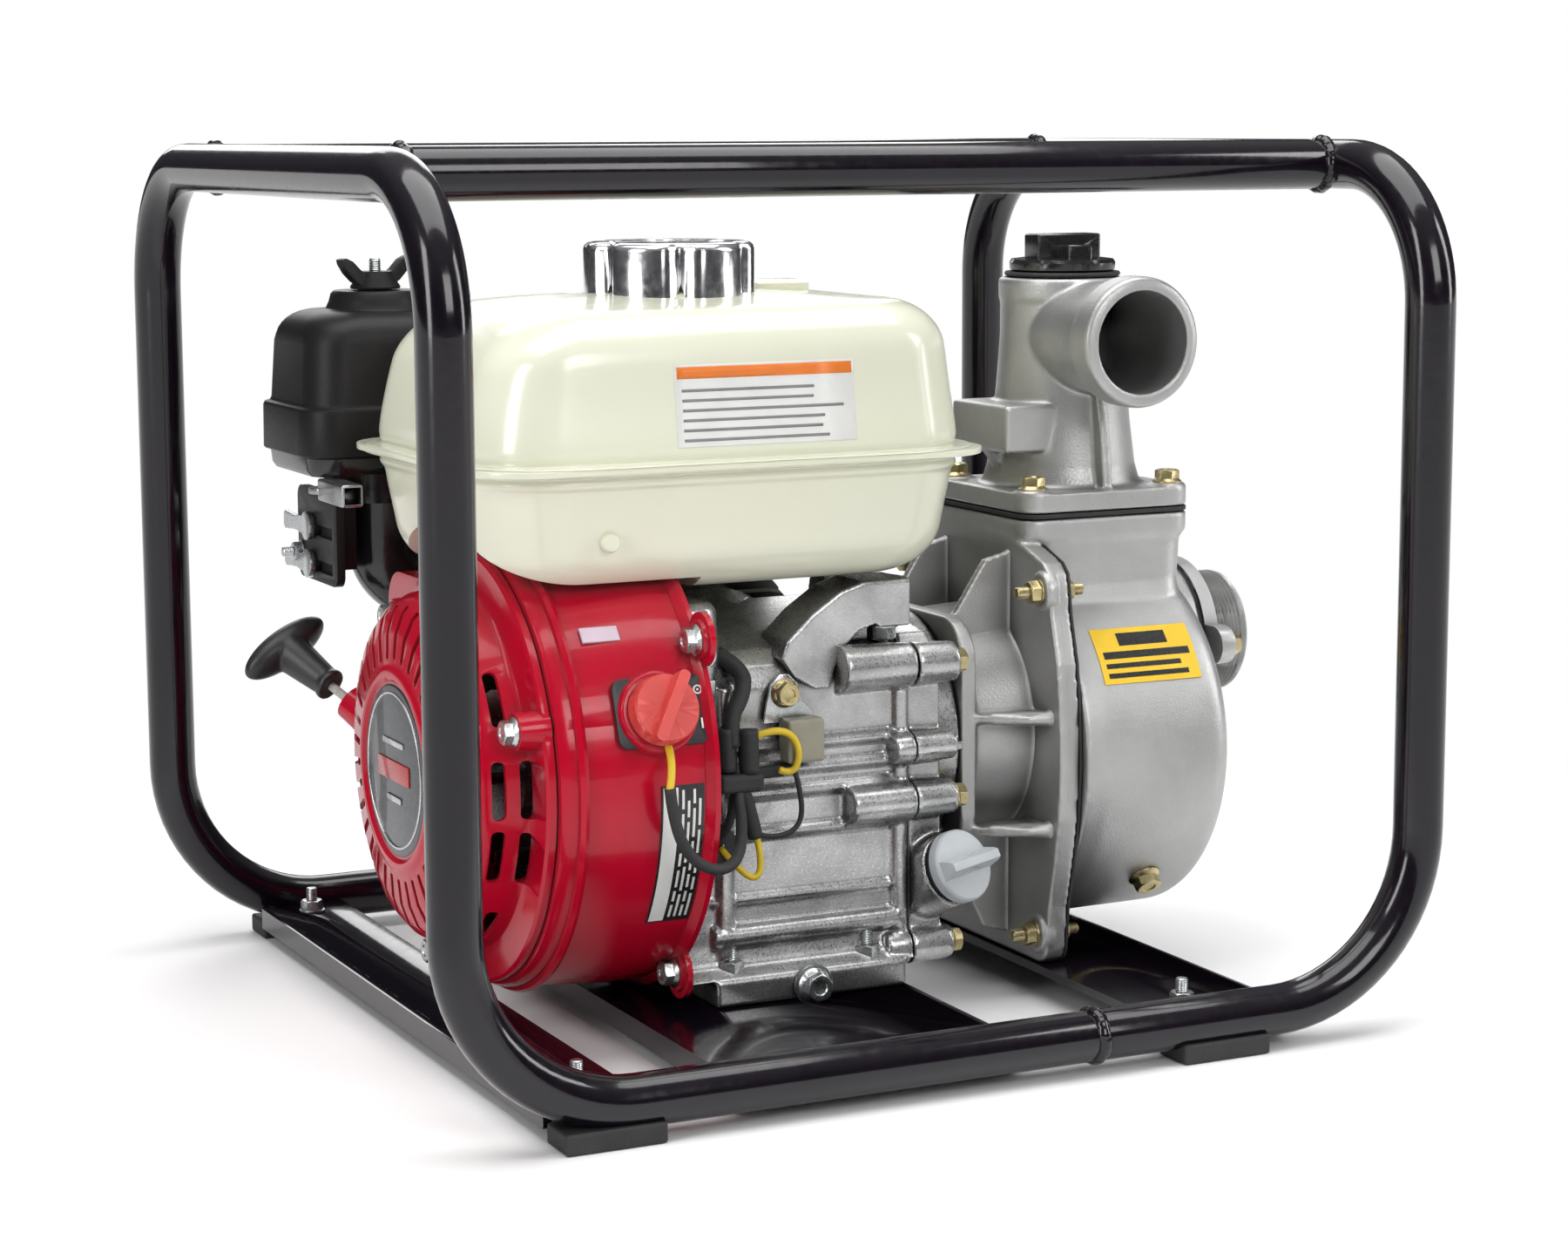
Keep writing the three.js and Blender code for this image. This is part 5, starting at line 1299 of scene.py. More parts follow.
# Oil filler cap
# A light-grey moulded plug with a coarse thread, a round skirt and a bar across it for the fingers. A
# rubber ring under the skirt seals the spout.
# Its occlusion amount paints shade into its hollows and joints.
grey_plastic = finish(
    "grey_moulding", (0.52, 0.55, 0.57), (0.46, 0.49, 0.51), patch=60, grain_size=1500, rough=(0.36, 0.46),
    relief=0.00003, wear=0.3, worn_to=(0.66, 0.68, 0.70), painted_shade=0.4, reach=0.005,
)
oil_turn = Z.rotation_difference(oil_axis).to_matrix().to_4x4()


def on_spout(piece):
    piece.data.transform(Matrix.Translation(oil_at) @ oil_turn)
    return piece


plug_thread = [(0, -0.014), (0.0092, -0.014)]
for turn_number in range(5):
    plug_thread += [(0.0106, -0.0130 + turn_number * 0.003), (0.0094, -0.0115 + turn_number * 0.003)]
oil_plug = turned("oil_plug_moulding", "z", (0, 0, 0), plug_thread + [
    (0.0094, 0.0024), (0.0160, 0.0024), (0.0167, 0.0032), (0.0165, 0.0074), (0.0157, 0.0086),
    (0.0130, 0.0092), (0, 0.0092),
], 72)
oil_bar = slab("oil_bar", "x", [
    (-0.0046, 0.0085), (0.0046, 0.0085), (0.0030, 0.0150), (0.0018, 0.0172), (-0.0018, 0.0172),
    (-0.0030, 0.0150),
], -0.0150, 0.0150)
waist = joined("waists", *[rod("waist", (0, side * 0.0148, 0.010), (0, side * 0.0148, 0.030),
                               0.0125) for side in (-1, 1)])
boolean(oil_bar, waist)
boolean(oil_plug, oil_bar, "UNION")
eased(oil_plug, 0.0006, 3, 30)
oil_plug.data.transform(Matrix.Rotation(math.radians(22), 4, "Z"))
fitted(on_spout(oil_plug), grey_plastic, "oil_cap", "grey_plastic", "oil_filler_cap")
oil_ring = turned("oil_seal_ring", "z", (0, 0, 0),
                  [(0.0110, 0.0), (0.0152, 0.0), (0.0156, 0.0010), (0.0152, 0.0021), (0.0110, 0.0021)], 72)
fitted(on_spout(oil_ring), rubber, "oil_seal", "rubber", "oil_cap_seal")


# Pump bracket
# A sand-cast aluminium adaptor, shot blasted, that bolts to the engine and closes the back of the pump. Its
# barrel carries the seal, and gussets brace the wide flange, which stands on the cross plate.
# Its occlusion amount paints shade into its hollows and joints.
blasted_cast = finish(
    "blasted_aluminium", (0.50, 0.50, 0.495), (0.41, 0.41, 0.405), patch=26, grain_size=1100,
    rough=(0.38, 0.50), relief=0.00013, wear=0.4, worn_to=(0.70, 0.70, 0.70), painted_shade=0.7, reach=0.016,
    Metallic=0.85,
)
bracket_low, bracket_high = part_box("pump_bracket")
drop = -0.011
flange_half = [
    (0.000, -0.106), (0.062, -0.106), (0.0665, -0.103), (0.068, -0.099), (0.0700, -0.078), (0.0745, -0.058),
    (0.0785, -0.035), (0.0800, drop), (0.0785, 0.016), (0.0760, 0.036), (0.0700, 0.058), (0.0685, 0.070),
    (0.0670, 0.0765), (0.062, 0.081), (0.046, 0.0865), (0.024, 0.091), (0.000, 0.0915),
]
flange_outline = [(crank.y + a, crank.z + b) for a, b in flange_half]
flange_outline += [(crank.y - a, crank.z + b) for a, b in reversed(flange_half[1:-1])]
flange_x = bracket_high.x - 0.009
bracket_parts = [
    slab("pump_bracket_casting", "x", flange_outline, flange_x, bracket_high.x),
    rod("barrel", axis_point + X * bracket_low.x, axis_point + X * (flange_x + 0.001), 0.0535, 0.0560,
        sides=96),
]
pilot_outline = rounded_corners((crank.y - 0.056, crank.z - 0.056), (crank.y + 0.056, crank.z + 0.056), 0.020)
bracket_parts.append(slab("pilot", "x", pilot_outline, bracket_low.x, bracket_low.x + 0.008))
for rise in (-0.042, 0.010):
    for side in (-1, 1):
        shelf = slab("shelf", "z", [
            (bracket_low.x + 0.003, crank.y + side * 0.046), (bracket_low.x + 0.003, crank.y + side * 0.054),
            (flange_x - 0.012, crank.y + side * 0.0705), (flange_x + 0.001, crank.y + side * 0.0735),
            (flange_x + 0.001, crank.y + side * 0.046),
        ], crank.z + rise - 0.0014, crank.z + rise + 0.0022)
        bracket_parts.append(shelf)
        knuckle = rod(
            "knuckle", (bracket_low.x + 0.014, crank.y + side * 0.0585, crank.z + rise + 0.0004),
            (flange_x, crank.y + side * 0.0700, crank.z + rise + 0.0004), 0.0030, 0.0038, sides=20,
        )
        bracket_parts.append(knuckle)
for side in (-1, 1):
    tall = [(bracket_low.x + 0.003, crank.z + 0.046), (flange_x + 0.001, crank.z + 0.046),
            (flange_x + 0.001, crank.z + 0.084), (flange_x - 0.014, crank.z + 0.080)]
    bracket_parts.append(slab("upper_gusset", "y", tall, crank.y + side * 0.030 - 0.002,
                              crank.y + side * 0.030 + 0.002))
    deep = [(bracket_low.x + 0.003, crank.z - 0.046), (flange_x - 0.014, crank.z - 0.094),
            (flange_x + 0.001, crank.z - 0.098), (flange_x + 0.001, crank.z - 0.046)]
    bracket_parts.append(slab("lower_gusset", "y", deep, crank.y + side * 0.030 - 0.002,
                              crank.y + side * 0.030 + 0.002))
stud_places = [(-0.062, 0.068), (0.062, 0.068), (-0.060, -0.092), (0.060, -0.092)]
for a, b in stud_places:
    spot = axis_point + Vector((flange_x, a, b))
    bracket_parts.append(rod("stud_boss", spot - X * 0.003, spot + X * 0.002, 0.0088, 0.0100, sides=40))
bracket = joined("pump_bracket_casting", *bracket_parts)
modified(bracket, "REMESH", mode="VOXEL", voxel_size=0.0010)
boolean(bracket, rod("bracket_room", axis_point + X * (bracket_low.x - 0.002),
                     axis_point + X * (flange_x - 0.003), 0.047))
boolean(bracket, rod("seal_bore", axis_point + X * 0.08, axis_point + X * (bracket_high.x + 0.002), 0.0225))
window = axis_point + Vector((0.085, 0, -0.050))
boolean(bracket, block("drip_window", window, (0.022, 0.040, 0.020)))
cast(bracket, 0.0010, 4, 0.5)
fitted(bracket, blasted_cast, "pump_set", "blasted_cast", "pump_bracket")
for number, (a, b) in enumerate(stud_places, 1):
    spot = axis_point + Vector((flange_x - 0.003, a, b))
    fastener(nut_pattern, f"casing_nut_{number}", spot, -X, 0.0095, yellow_zinc, "pump_set")

seal_sheet = slab("pump_gasket_sheet", "x", flange_outline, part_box("pump_gasket")[0].x,
                  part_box("pump_gasket")[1].x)
boolean(seal_sheet,
        rod("gasket_hole", (0.10, crank.y, crank.z + drop), (0.13, crank.y, crank.z + drop), 0.078))
eased(seal_sheet, 0.0002, 1)
fitted(seal_sheet, rubber, "pump_set", "rubber", "pump_gasket")


# Pump casing
# A shot-blasted aluminium casting shaped like a drum, with a square flange on its neck for the discharge
# elbow and a round suction boss on its end. It is held to the bracket by studs, with yellow-zinc nuts.
casing_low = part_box("pump_casing")[0]
drum_middle = crank.z + drop
casing_flange = slab("casing_flange", "x", flange_outline, casing_low.x, casing_low.x + 0.009)
drum_profile = [(0, 0.1140), (0.084, 0.1140), (0.0850, 0.125)]
for step in range(9):
    swing = math.radians(90 * step / 8)
    drum_profile.append((0.0735 + 0.0110 * math.cos(swing), 0.183 + 0.011 * math.sin(swing)))
drum_profile += [(0.040, 0.1945), (0, 0.1945)]
drum_piece = turned("drum", "x", (0, crank.y, drum_middle), drum_profile, 128)
neck_foot_low = (0.1025, crank.y - 0.0458)
neck_foot_high = (0.1938, crank.y + 0.0458)
neck_rings = [
    (drum_middle + 0.030, (0.114, crank.y - 0.060), (0.190, crank.y + 0.060), 0.012),
    (drum_middle + 0.078, (0.112, crank.y - 0.046), (0.190, crank.y + 0.046), 0.012),
    (0.2085, (0.106, crank.y - 0.0445), (0.192, crank.y + 0.0445), 0.012),
    (0.2120, neck_foot_low, neck_foot_high, 0.010),
    (0.2210, neck_foot_low, neck_foot_high, 0.010),
]
neck_piece = stacked("neck", neck_rings, 6)
boss = turned("suction_boss", "x", (0, crank.y, crank.z + 0.033), [
    (0, 0.185), (0.0395, 0.185), (0.0372, 0.197), (0.0370, 0.2052), (0, 0.2052),
], 96)
casing = joined("pump_casing_casting", casing_flange, drum_piece, neck_piece, boss)
modified(casing, "REMESH", mode="VOXEL", voxel_size=0.0011)
boolean(casing,
        rod("volute_room", (0.112, crank.y, drum_middle), (0.180, crank.y, drum_middle), 0.0775, sides=96))
boolean(casing,
        rod("discharge_bore", (0.148, crank.y, drum_middle), (0.148, crank.y, 0.23), 0.0262, sides=64))
suction_z = crank.z + 0.033
boolean(casing, rod("suction_bore", (0.17, crank.y, suction_z), (0.22, crank.y, suction_z), 0.0250, sides=64))
cast(casing, 0.0011, 4, 0.5)
fitted(casing, blasted_cast, "pump_set", "blasted_cast", "pump_casing")
for number, (a, b) in enumerate(stud_places, 1):
    spot = axis_point + Vector((casing_low.x + 0.009, a, b))
    fastener(nut_pattern, f"casing_front_nut_{number}", spot, X, 0.0095, yellow_zinc, "pump_set")
fastener(bolt_pattern, "pump_drain_plug", (0.160, crank.y - 0.0595, drum_middle - 0.0600),
         Vector((0, -0.7, -0.71)), 0.0110, yellow_zinc, "pump_set")


# Discharge elbow
# The outlet casting. A square foot bolts on the neck, a tapered riser carries the filling hole on top, and
# the branch leaves towards the near side and ends in a rounded ring for the hose coupling.
riser = (0.148, crank.y)
foot_ring = rounded_corners(neck_foot_low, neck_foot_high, 0.010)
elbow_foot = slab("elbow_foot", "z", foot_ring, 0.2234, 0.2330)
riser_piece = turned("riser", "z", (riser[0], riser[1], 0), [
    (0, 0.2300), (0.0395, 0.2300), (0.0372, 0.2345), (0.0350, 0.242), (0.0325, 0.262), (0.0305, 0.285),
    (0.0292, 0.303), (0.0292, 0.3185), (0.0300, 0.3205), (0.0300, 0.3288), (0.0288, 0.3300), (0, 0.3300),
], 96)
branch_z = 0.3028
branch = turned("branch", "y", (riser[0], 0, branch_z), [
    (0, -0.0200), (0.0262, -0.0200), (0.0258, -0.050), (0.0256, -0.064), (0.0262, -0.0715),
    (0.0292, -0.0765), (0.0300, -0.0790), (0.0300, -0.0905), (0.0290, -0.0925), (0.0262, -0.0932),
    (0, -0.0932),
], 96)
lug_low = Vector((0.103, crank.y - 0.026, 0.250))
lug_size = Vector((0.034, 0.052, 0.022))
lug = block("priming_lug", lug_low + lug_size / 2, lug_size, 0.0015)
lug_rib = slab("lug_rib", "y", [(0.106, 0.250), (0.130, 0.250), (0.130, 0.232), (0.121, 0.232)],
               crank.y - 0.004, crank.y + 0.004)
corner_web = slab("corner_web", "x", [
    (crank.y - 0.032, 0.2325), (crank.y - 0.044, 0.2325), (crank.y - 0.040, 0.262),
    (crank.y - 0.034, 0.288), (crank.y - 0.024, 0.288),
], 0.1455, 0.1505)
elbow = joined("discharge_elbow_casting", elbow_foot, riser_piece, branch, lug, lug_rib, corner_web)
elbow_bolt_places = [(0.1115, -0.0365), (0.1845, -0.0365), (0.1115, 0.0365), (0.1845, 0.0365)]
for a, b in elbow_bolt_places:
    elbow = joined("discharge_elbow_casting", elbow, rod("bolt_pad", (a, crank.y + b, 0.231),
                                                         (a, crank.y + b, 0.2342), 0.0083, 0.0078, sides=36))
modified(elbow, "REMESH", mode="VOXEL", voxel_size=0.0009)
boolean(elbow, rod("riser_bore", (riser[0], riser[1], 0.215), (riser[0], riser[1], 0.322), 0.0240, sides=64))
boolean(elbow, rod("plug_bore", (riser[0], riser[1], 0.31), (riser[0], riser[1], 0.34), 0.0190, sides=64))
boolean(elbow,
        rod("outlet_bore", (riser[0], riser[1], branch_z), (riser[0], -0.10, branch_z), 0.0235, sides=96))
cast(elbow, 0.0009, 5, 0.5)
fitted(elbow, blasted_cast, "pump_set", "blasted_cast", "discharge_elbow")
for number, (a, b) in enumerate(elbow_bolt_places, 1):
    fastener(bolt_pattern, f"elbow_bolt_{number}", (a, crank.y + b, 0.2338), Z, 0.0100, yellow_zinc,
             "pump_set")
neck_gasket = slab("elbow_gasket_sheet", "z", foot_ring, 0.2212, 0.2232)
boolean(neck_gasket, rod("gasket_hole", (riser[0], riser[1], 0.21), (riser[0], riser[1], 0.24), 0.0245))
eased(neck_gasket, 0.0002, 1)
fitted(neck_gasket, rubber, "pump_set", "rubber", "discharge_gasket")


# Priming plug
# A glossy black moulded plug that screws into the top of the elbow, with a rubber ring under its flange and a
# T-shaped grip. It comes out to fill the pump with water before a start.
# Its occlusion amount paints shade into its hollows and joints.
gloss_plastic = finish(
    "black_gloss_plastic", (0.012, 0.012, 0.013), (0.008, 0.008, 0.009), patch=40, grain_size=700,
    rough=(0.14, 0.24), relief=0.00003, wear=0.25, worn_to=(0.10, 0.10, 0.10), painted_shade=0.3,
    Specular_IOR_Level=0.6,
)
plug_low, plug_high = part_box("priming_plug")
thread = [(0, 0.3050), (0.0172, 0.3050)]
for turn_number in range(7):
    thread += [(0.0184, 0.3062 + turn_number * 0.003), (0.0172, 0.3077 + turn_number * 0.003)]
plug = turned("priming_plug_moulding", "z", (riser[0], riser[1], 0), thread + [
    (0.0172, 0.3330), (0.0235, 0.3330), (0.0248, 0.3336), (0.0250, 0.3368), (0.0240, 0.3384),
    (0.0190, 0.3390), (0, 0.3390),
], 96)
grip_bar = block("grip_bar", ((plug_low.x + plug_high.x) / 2, crank.y, 0.3440), (0.034, 0.0138, 0.0124),
                 0.0012)
boolean(plug, grip_bar, "UNION")
grip_cross = block("grip_cross", ((plug_low.x + plug_high.x) / 2, crank.y, 0.3415),
                   (0.0130, 0.0340, 0.0075), 0.0012)
boolean(plug, grip_cross, "UNION")
eased(plug, 0.0005, 2, 30)
fitted(plug, gloss_plastic, "priming_cap", "black_plastic", "priming_plug")
seal_low, seal_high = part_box("priming_plug_seal")
plug_ring = turned("priming_seal_ring", "z", (riser[0], riser[1], 0), [
    (0.0195, seal_low.z), (0.0268, seal_low.z), (0.0274, (seal_low.z + seal_high.z) / 2),
    (0.0268, seal_high.z), (0.0195, seal_high.z),
], 96)
fitted(plug_ring, rubber, "priming_seal", "rubber", "priming_plug_seal")


# Suction port
# A cast flange bolted to the end of the casing with a rubber gasket behind it, ending in a 2 inch pipe
# thread. The check-valve flap hangs behind the flange and keeps water in the pump between runs.
port_low, port_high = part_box("suction_flange")
port_profile = [(0, port_low.x), (0.0375, port_low.x), (0.0375, port_low.x + 0.0072),
                (0.0345, port_low.x + 0.0085), (0.0290, port_low.x + 0.0105)]
threads_from = port_low.x + 0.0118
for turn_number in range(8):
    port_profile += [(0.0294, threads_from + turn_number * 0.0021),
                     (0.0281, threads_from + 0.00105 + turn_number * 0.0021)]
port_profile += [(0.0290, port_high.x - 0.0012), (0.0278, port_high.x), (0, port_high.x)]
port = turned("suction_port_casting", "x", (0, crank.y, suction_z), port_profile, 96)
ears = []
for side in (-1, 1):
    spot = Vector((port_low.x, crank.y + side * 0.043, suction_z))
    ears.append(rod("ear", spot, spot + X * 0.0078, 0.0092, 0.0088, sides=40))
    inner = Vector((port_low.x + 0.0039, crank.y + side * 0.036, suction_z))
    ears.append(block("ear_root", inner, (0.0077, 0.015, 0.0180)))
for ear in ears:
    boolean(port, ear, "UNION")
boolean(port, rod("port_bore", (port_low.x - 0.01, crank.y, suction_z),
                  (port_high.x + 0.01, crank.y, suction_z), 0.0235, sides=96))
eased(port, 0.0003, 2, 40)
fitted(port, blasted_cast, "pump_set", "blasted_cast", "suction_flange")
for number, side in enumerate((-1, 1), 1):
    spot = Vector((port_low.x + 0.0078, crank.y + side * 0.043, suction_z))
    fastener(bolt_pattern, f"suction_bolt_{number}", spot, X, 0.0095, yellow_zinc, "pump_set")


# Cylinder, head, rocker cover and piston
# Aluminium castings stacked on the crankcase at 25 degrees above the level: a finned barrel, a finned head
# and a plain cover, bolted through. They hide between the tank and the muffler.
# Its occlusion amount paints shade into its hollows and joints.
sooty_cast = finish(
    "cylinder_aluminium", (0.36, 0.36, 0.35), (0.24, 0.24, 0.23), patch=40, grain_size=800,
    rough=(0.42, 0.58), relief=0.00012, wear=0.3, worn_to=(0.6, 0.6, 0.6), painted_shade=0.9, reach=0.012,
    Metallic=0.8,
)
# Its occlusion amount paints shade into its hollows and joints.
steel = finish(
    "machined_steel", (0.42, 0.42, 0.43), (0.30, 0.30, 0.31), patch=60, grain_size=1500, rough=(0.25, 0.38),
    relief=0.00003, wear=0.3, worn_to=(0.7, 0.7, 0.7), painted_shade=0.5, Metallic=1.0,
)
# Its occlusion amount paints shade into its hollows and joints.
iron = finish(
    "cast_iron", (0.10, 0.095, 0.09), (0.06, 0.055, 0.05), patch=30, grain_size=700, rough=(0.55, 0.7),
    relief=0.0002, wear=0.4, worn_to=(0.25, 0.24, 0.23), painted_shade=0.5, Metallic=0.7,
)


def coated(finish_used, *node_names):
    """Puts a finish on CAD pieces that are shown as they are."""
    for node_name in node_names:
        for place in bpy.data.objects[node_name].material_slots:
            place.material = finish_used


coated(sooty_cast, "cylinder_barrel", "cylinder_head", "rocker_cover", "piston")
coated(steel, "crankshaft", "check_valve_flap", "mechanical_seal")
coated(die_cast, "flywheel_fan")
coated(iron, "impeller", "volute")


# Tank bracket
# A curved cast arm that rises from the crankcase to a round boss under the tank. One stud passes up through
# the boss, with a zinc nut beneath.
arm_low, arm_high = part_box("tank_bracket")
arm_outline = [
    (0.0340, 0.2006), (0.0110, 0.2006), (-0.0010, 0.1968), (-0.0150, 0.1875), (-0.0270, 0.1765),
    (-0.0300, 0.1690), (-0.0240, 0.1600), (-0.0140, 0.1540), (-0.0060, 0.1540), (-0.0040, 0.1620),
    (0.0010, 0.1715), (0.0080, 0.1785), (0.0180, 0.1815), (0.0180, 0.1795), (0.0340, 0.1795),
]
arm = slab("tank_bracket_casting", "y", arm_outline, arm_low.y, arm_high.y - 0.008)
arm = joined("tank_bracket_casting", arm,
             rod("boss", (0.026, -0.069, 0.1795), (0.026, -0.069, 0.2003), 0.0125, 0.0118))
cast(arm, 0.0008, 6, 0.5)
fitted(arm, die_cast, "pump_set", "die_cast", "tank_bracket")
fastener(nut_pattern, "tank_bracket_nut", (0.026, -0.069, 0.1793), -Z, 0.0115, zinc, "pump_set")


# Air cleaner
# A black moulded box in two parts. The cover narrows above its skirt and carries a round collar, the base
# is a tray with a glossy elbow to the carburettor, and a foam ring sits between them under a wing nut.
# Its occlusion amount paints shade into its hollows and joints.
satin_black = finish(
    "black_satin_moulding", (0.0110, 0.0095, 0.0100), (0.0080, 0.0070, 0.0075), patch=26, grain_size=1600,
    rough=(0.38, 0.50), relief=0.00005, wear=0.2, worn_to=(0.06, 0.06, 0.06), painted_shade=0.4, reach=0.008,
    Specular_IOR_Level=0.22,
)
cover_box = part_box("air_cleaner_cover")


def cover_ring(z, by, radius):
    low, high = cover_box
    return (z, (low.x + by, low.y + by), (high.x - by, high.y - by), radius)


cover_rings = [
    cover_ring(0.2492, 0.0010, 0.017), cover_ring(0.2500, 0.0002, 0.018), cover_ring(0.2700, 0.0004, 0.018),
    cover_ring(0.2716, 0.0010, 0.018), cover_ring(0.2724, 0.0030, 0.018), cover_ring(0.2740, 0.0036, 0.018),
    cover_ring(0.3010, 0.0052, 0.018),
]
for step in range(1, 9):
    swing = math.radians(90 * step / 8)
    cover_rings.append(cover_ring(0.3010 + 0.0150 * math.sin(swing),
                                  0.0052 + 0.0150 * (1 - math.cos(swing)), 0.020))
cover_rings.append(cover_ring(0.3172, 0.0330, 0.012))
filter_cover = stacked("air_cleaner_cover_moulding", cover_rings, 12)
filter_room = stacked("cover_room", [
    cover_ring(0.2485, 0.0024, 0.016), cover_ring(0.2715, 0.0026, 0.016), cover_ring(0.2740, 0.0060, 0.016),
    cover_ring(0.3010, 0.0075, 0.016), cover_ring(0.3120, 0.0190, 0.014),
], 10)
filter_at = (-0.142, 0.128)
collar = turned("collar", "z", (filter_at[0], filter_at[1], 0), [
    (0, 0.3130), (0.0260, 0.3130), (0.0236, 0.3165), (0.0222, 0.3195), (0.0212, 0.3232), (0.0198, 0.3246),
    (0, 0.3246),
], 72)
boolean(filter_cover, collar, "UNION")
boolean(filter_cover, filter_room)
eased(filter_cover, 0.0006, 2, 34)
fitted(filter_cover, satin_black, "pump_set", "black_plastic", "air_cleaner_cover")
tray_low, tray_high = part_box("air_cleaner_base")
base = stacked("air_cleaner_base_moulding", [
    inset_level(0.2400, tray_low, tray_high, 0.004, 0.012),
    inset_level(0.2425, tray_low, tray_high, 0.0022, 0.014),
    inset_level(0.2486, tray_low, tray_high, 0.0016, 0.014),
], 10)
intake_axis = (0.116, 0.184)
pipe_moves = [0.0066, (Z, 0.022, quarter), 0.036]
elbow_pipe = bent_tube("intake_elbow", (-0.1164, *intake_axis), -X, 0.017, pipe_moves)
boolean(base, elbow_pipe, "UNION")
boolean(base, rod("elbow_flange", (-0.1164, *intake_axis), (-0.1210, *intake_axis), 0.0215), "UNION")
boolean(base, rod("elbow_throat", (-0.146, 0.116, 0.226), (-0.146, 0.116, 0.241), 0.0175, 0.030), "UNION")
boolean(base,
        bent_tube("intake_bore", (-0.1100, *intake_axis), -X, 0.0135, [0.0130, (Z, 0.022, quarter), 0.060]))
eased(base, 0.0006, 2, 34)
fitted(base, gloss_plastic, "pump_set", "black_plastic", "air_cleaner_base")
foam = finish("filter_foam", (0.030, 0.028, 0.024), (0.012, 0.011, 0.010), patch=500, grain_size=2400,
              rough=(0.8, 0.9), relief=0.0006)
coated(foam, "air_filter_element")

wing_hub = turned("wing_nut_moulding", "z", (filter_at[0], filter_at[1], 0), [
    (0, 0.3253), (0.0115, 0.3253), (0.0120, 0.3262), (0.0095, 0.3300), (0.0080, 0.3335), (0, 0.3335),
], 48)
wing_outline = [(0.0, 0.3262), (0.0090, 0.3262), (0.0150, 0.3290), (0.0200, 0.3330), (0.0235, 0.3375),
                (0.0240, 0.3396),
                (0.0215, 0.3402), (0.0170, 0.3385), (0.0120, 0.3345), (0.0070, 0.3318), (0.0, 0.3312)]
for side in (-1, 1):
    wing = slab("wing", "x", [(filter_at[1] + side * a, b) for a, b in wing_outline], filter_at[0] - 0.0022,
                filter_at[0] + 0.0022)
    boolean(wing_hub, wing, "UNION")
to_stud = Matrix.Translation((*filter_at, 0))
from_stud = Matrix.Translation((-filter_at[0], -filter_at[1], 0))
wing_hub.data.transform(to_stud @ Matrix.Rotation(math.radians(-62), 4, "Z") @ from_stud)
boolean(wing_hub, rod("stud_hole", (*filter_at, 0.320), (*filter_at, 0.345), 0.0029, sides=32))
eased(wing_hub, 0.0008, 3, 30)
fitted(wing_hub, satin_black, "air_cleaner_nut", "black_plastic", "air_cleaner_wing_nut")
stud_profile = [(0, 0.3240)]
for turn_number in range(15):
    stud_profile += [(0.0028, 0.3242 + turn_number * 0.0010), (0.0025, 0.3247 + turn_number * 0.0010)]
filter_stud = turned("filter_stud", "z", (*filter_at, 0), stud_profile + [(0.0022, 0.3396), (0, 0.3400)], 32)
fitted(filter_stud, zinc, "pump_set", "steel")


# Controls
# A black moulded plate below the air cleaner holds the choke lever and the fuel valve lever. The speed
# lever above is a folded steel channel on its own pivot, and a zinc cap nut holds the plate on.
panel_low, panel_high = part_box("control_panel")
panel_outline = rounded_corners((panel_low.y, panel_low.z), (panel_high.y, panel_high.z), 0.006)
panel = slab("control_panel_moulding", "x", panel_outline, panel_low.x, panel_low.x + 0.004)
for y_from, y_to, z_from in ((0.096, 0.104, 0.196), (0.138, 0.143, 0.192)):
    arm_block = block("stay", (panel_low.x + 0.007, (y_from + y_to) / 2, (z_from + 0.230) / 2),
                      (0.008, y_to - y_from, 0.230 - z_from))
    boolean(panel, arm_block, "UNION")
for low_z in (0.2065, 0.1895):
    slot_cut = block("lever_slot", (panel_low.x, 0.112, low_z + 0.006), (0.006, 0.026, 0.0055))
    boolean(panel, slot_cut)
eased(panel, 0.0008, 3, 30)
fitted(panel, satin_black, "pump_set", "black_plastic", "control_panel")
for lever_name, body in (("choke_lever", "choke_control"), ("fuel_valve_lever", "fuel_control")):
    lever_low, lever_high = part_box(lever_name)
    centre_z = (lever_low.z + lever_high.z) / 2
    pivot_y = lever_low.y + 0.007
    blade = rod(lever_name + "_blade", (lever_low.x + 0.0004, pivot_y, centre_z),
                (lever_low.x + 0.0030, pivot_y, centre_z), 0.0068)
    strip = slab("strip", "x", [
        (pivot_y, centre_z - 0.0048), (pivot_y + 0.016, centre_z - 0.0034),
        (lever_high.y - 0.002, centre_z - 0.0044), (lever_high.y, centre_z - 0.0026),
        (lever_high.y, centre_z + 0.0026), (lever_high.y - 0.002, centre_z + 0.0044),
        (pivot_y + 0.016, centre_z + 0.0034), (pivot_y, centre_z + 0.0048),
    ], lever_low.x + 0.0006, lever_low.x + 0.0028)
    boolean(blade, strip, "UNION")
    eased(blade, 0.0005, 2, 30)
    fitted(blade, zinc, body, "steel", lever_name)
speed_low, speed_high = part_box("throttle_lever")
speed_pivot = (-0.178, 0.100)
speed = rod("throttle_lever_channel", (*speed_pivot, speed_low.z), (*speed_pivot, speed_high.z), 0.0080)
channel = block("channel", (-0.178, 0.079, 0.2345), (0.0105, 0.036, 0.0105), 0.0012)
boolean(channel, block("channel_room", (-0.178, 0.077, 0.2345), (0.0079, 0.044, 0.0079)))
boolean(speed, channel, "UNION")
eased(speed, 0.0003, 2, 34)
fitted(speed, steel, "throttle_control", "steel", "throttle_lever")
fastener(nut_pattern, "control_nut", (panel_low.x, 0.1445, 0.2000), -X, 0.0080, zinc, "pump_set")


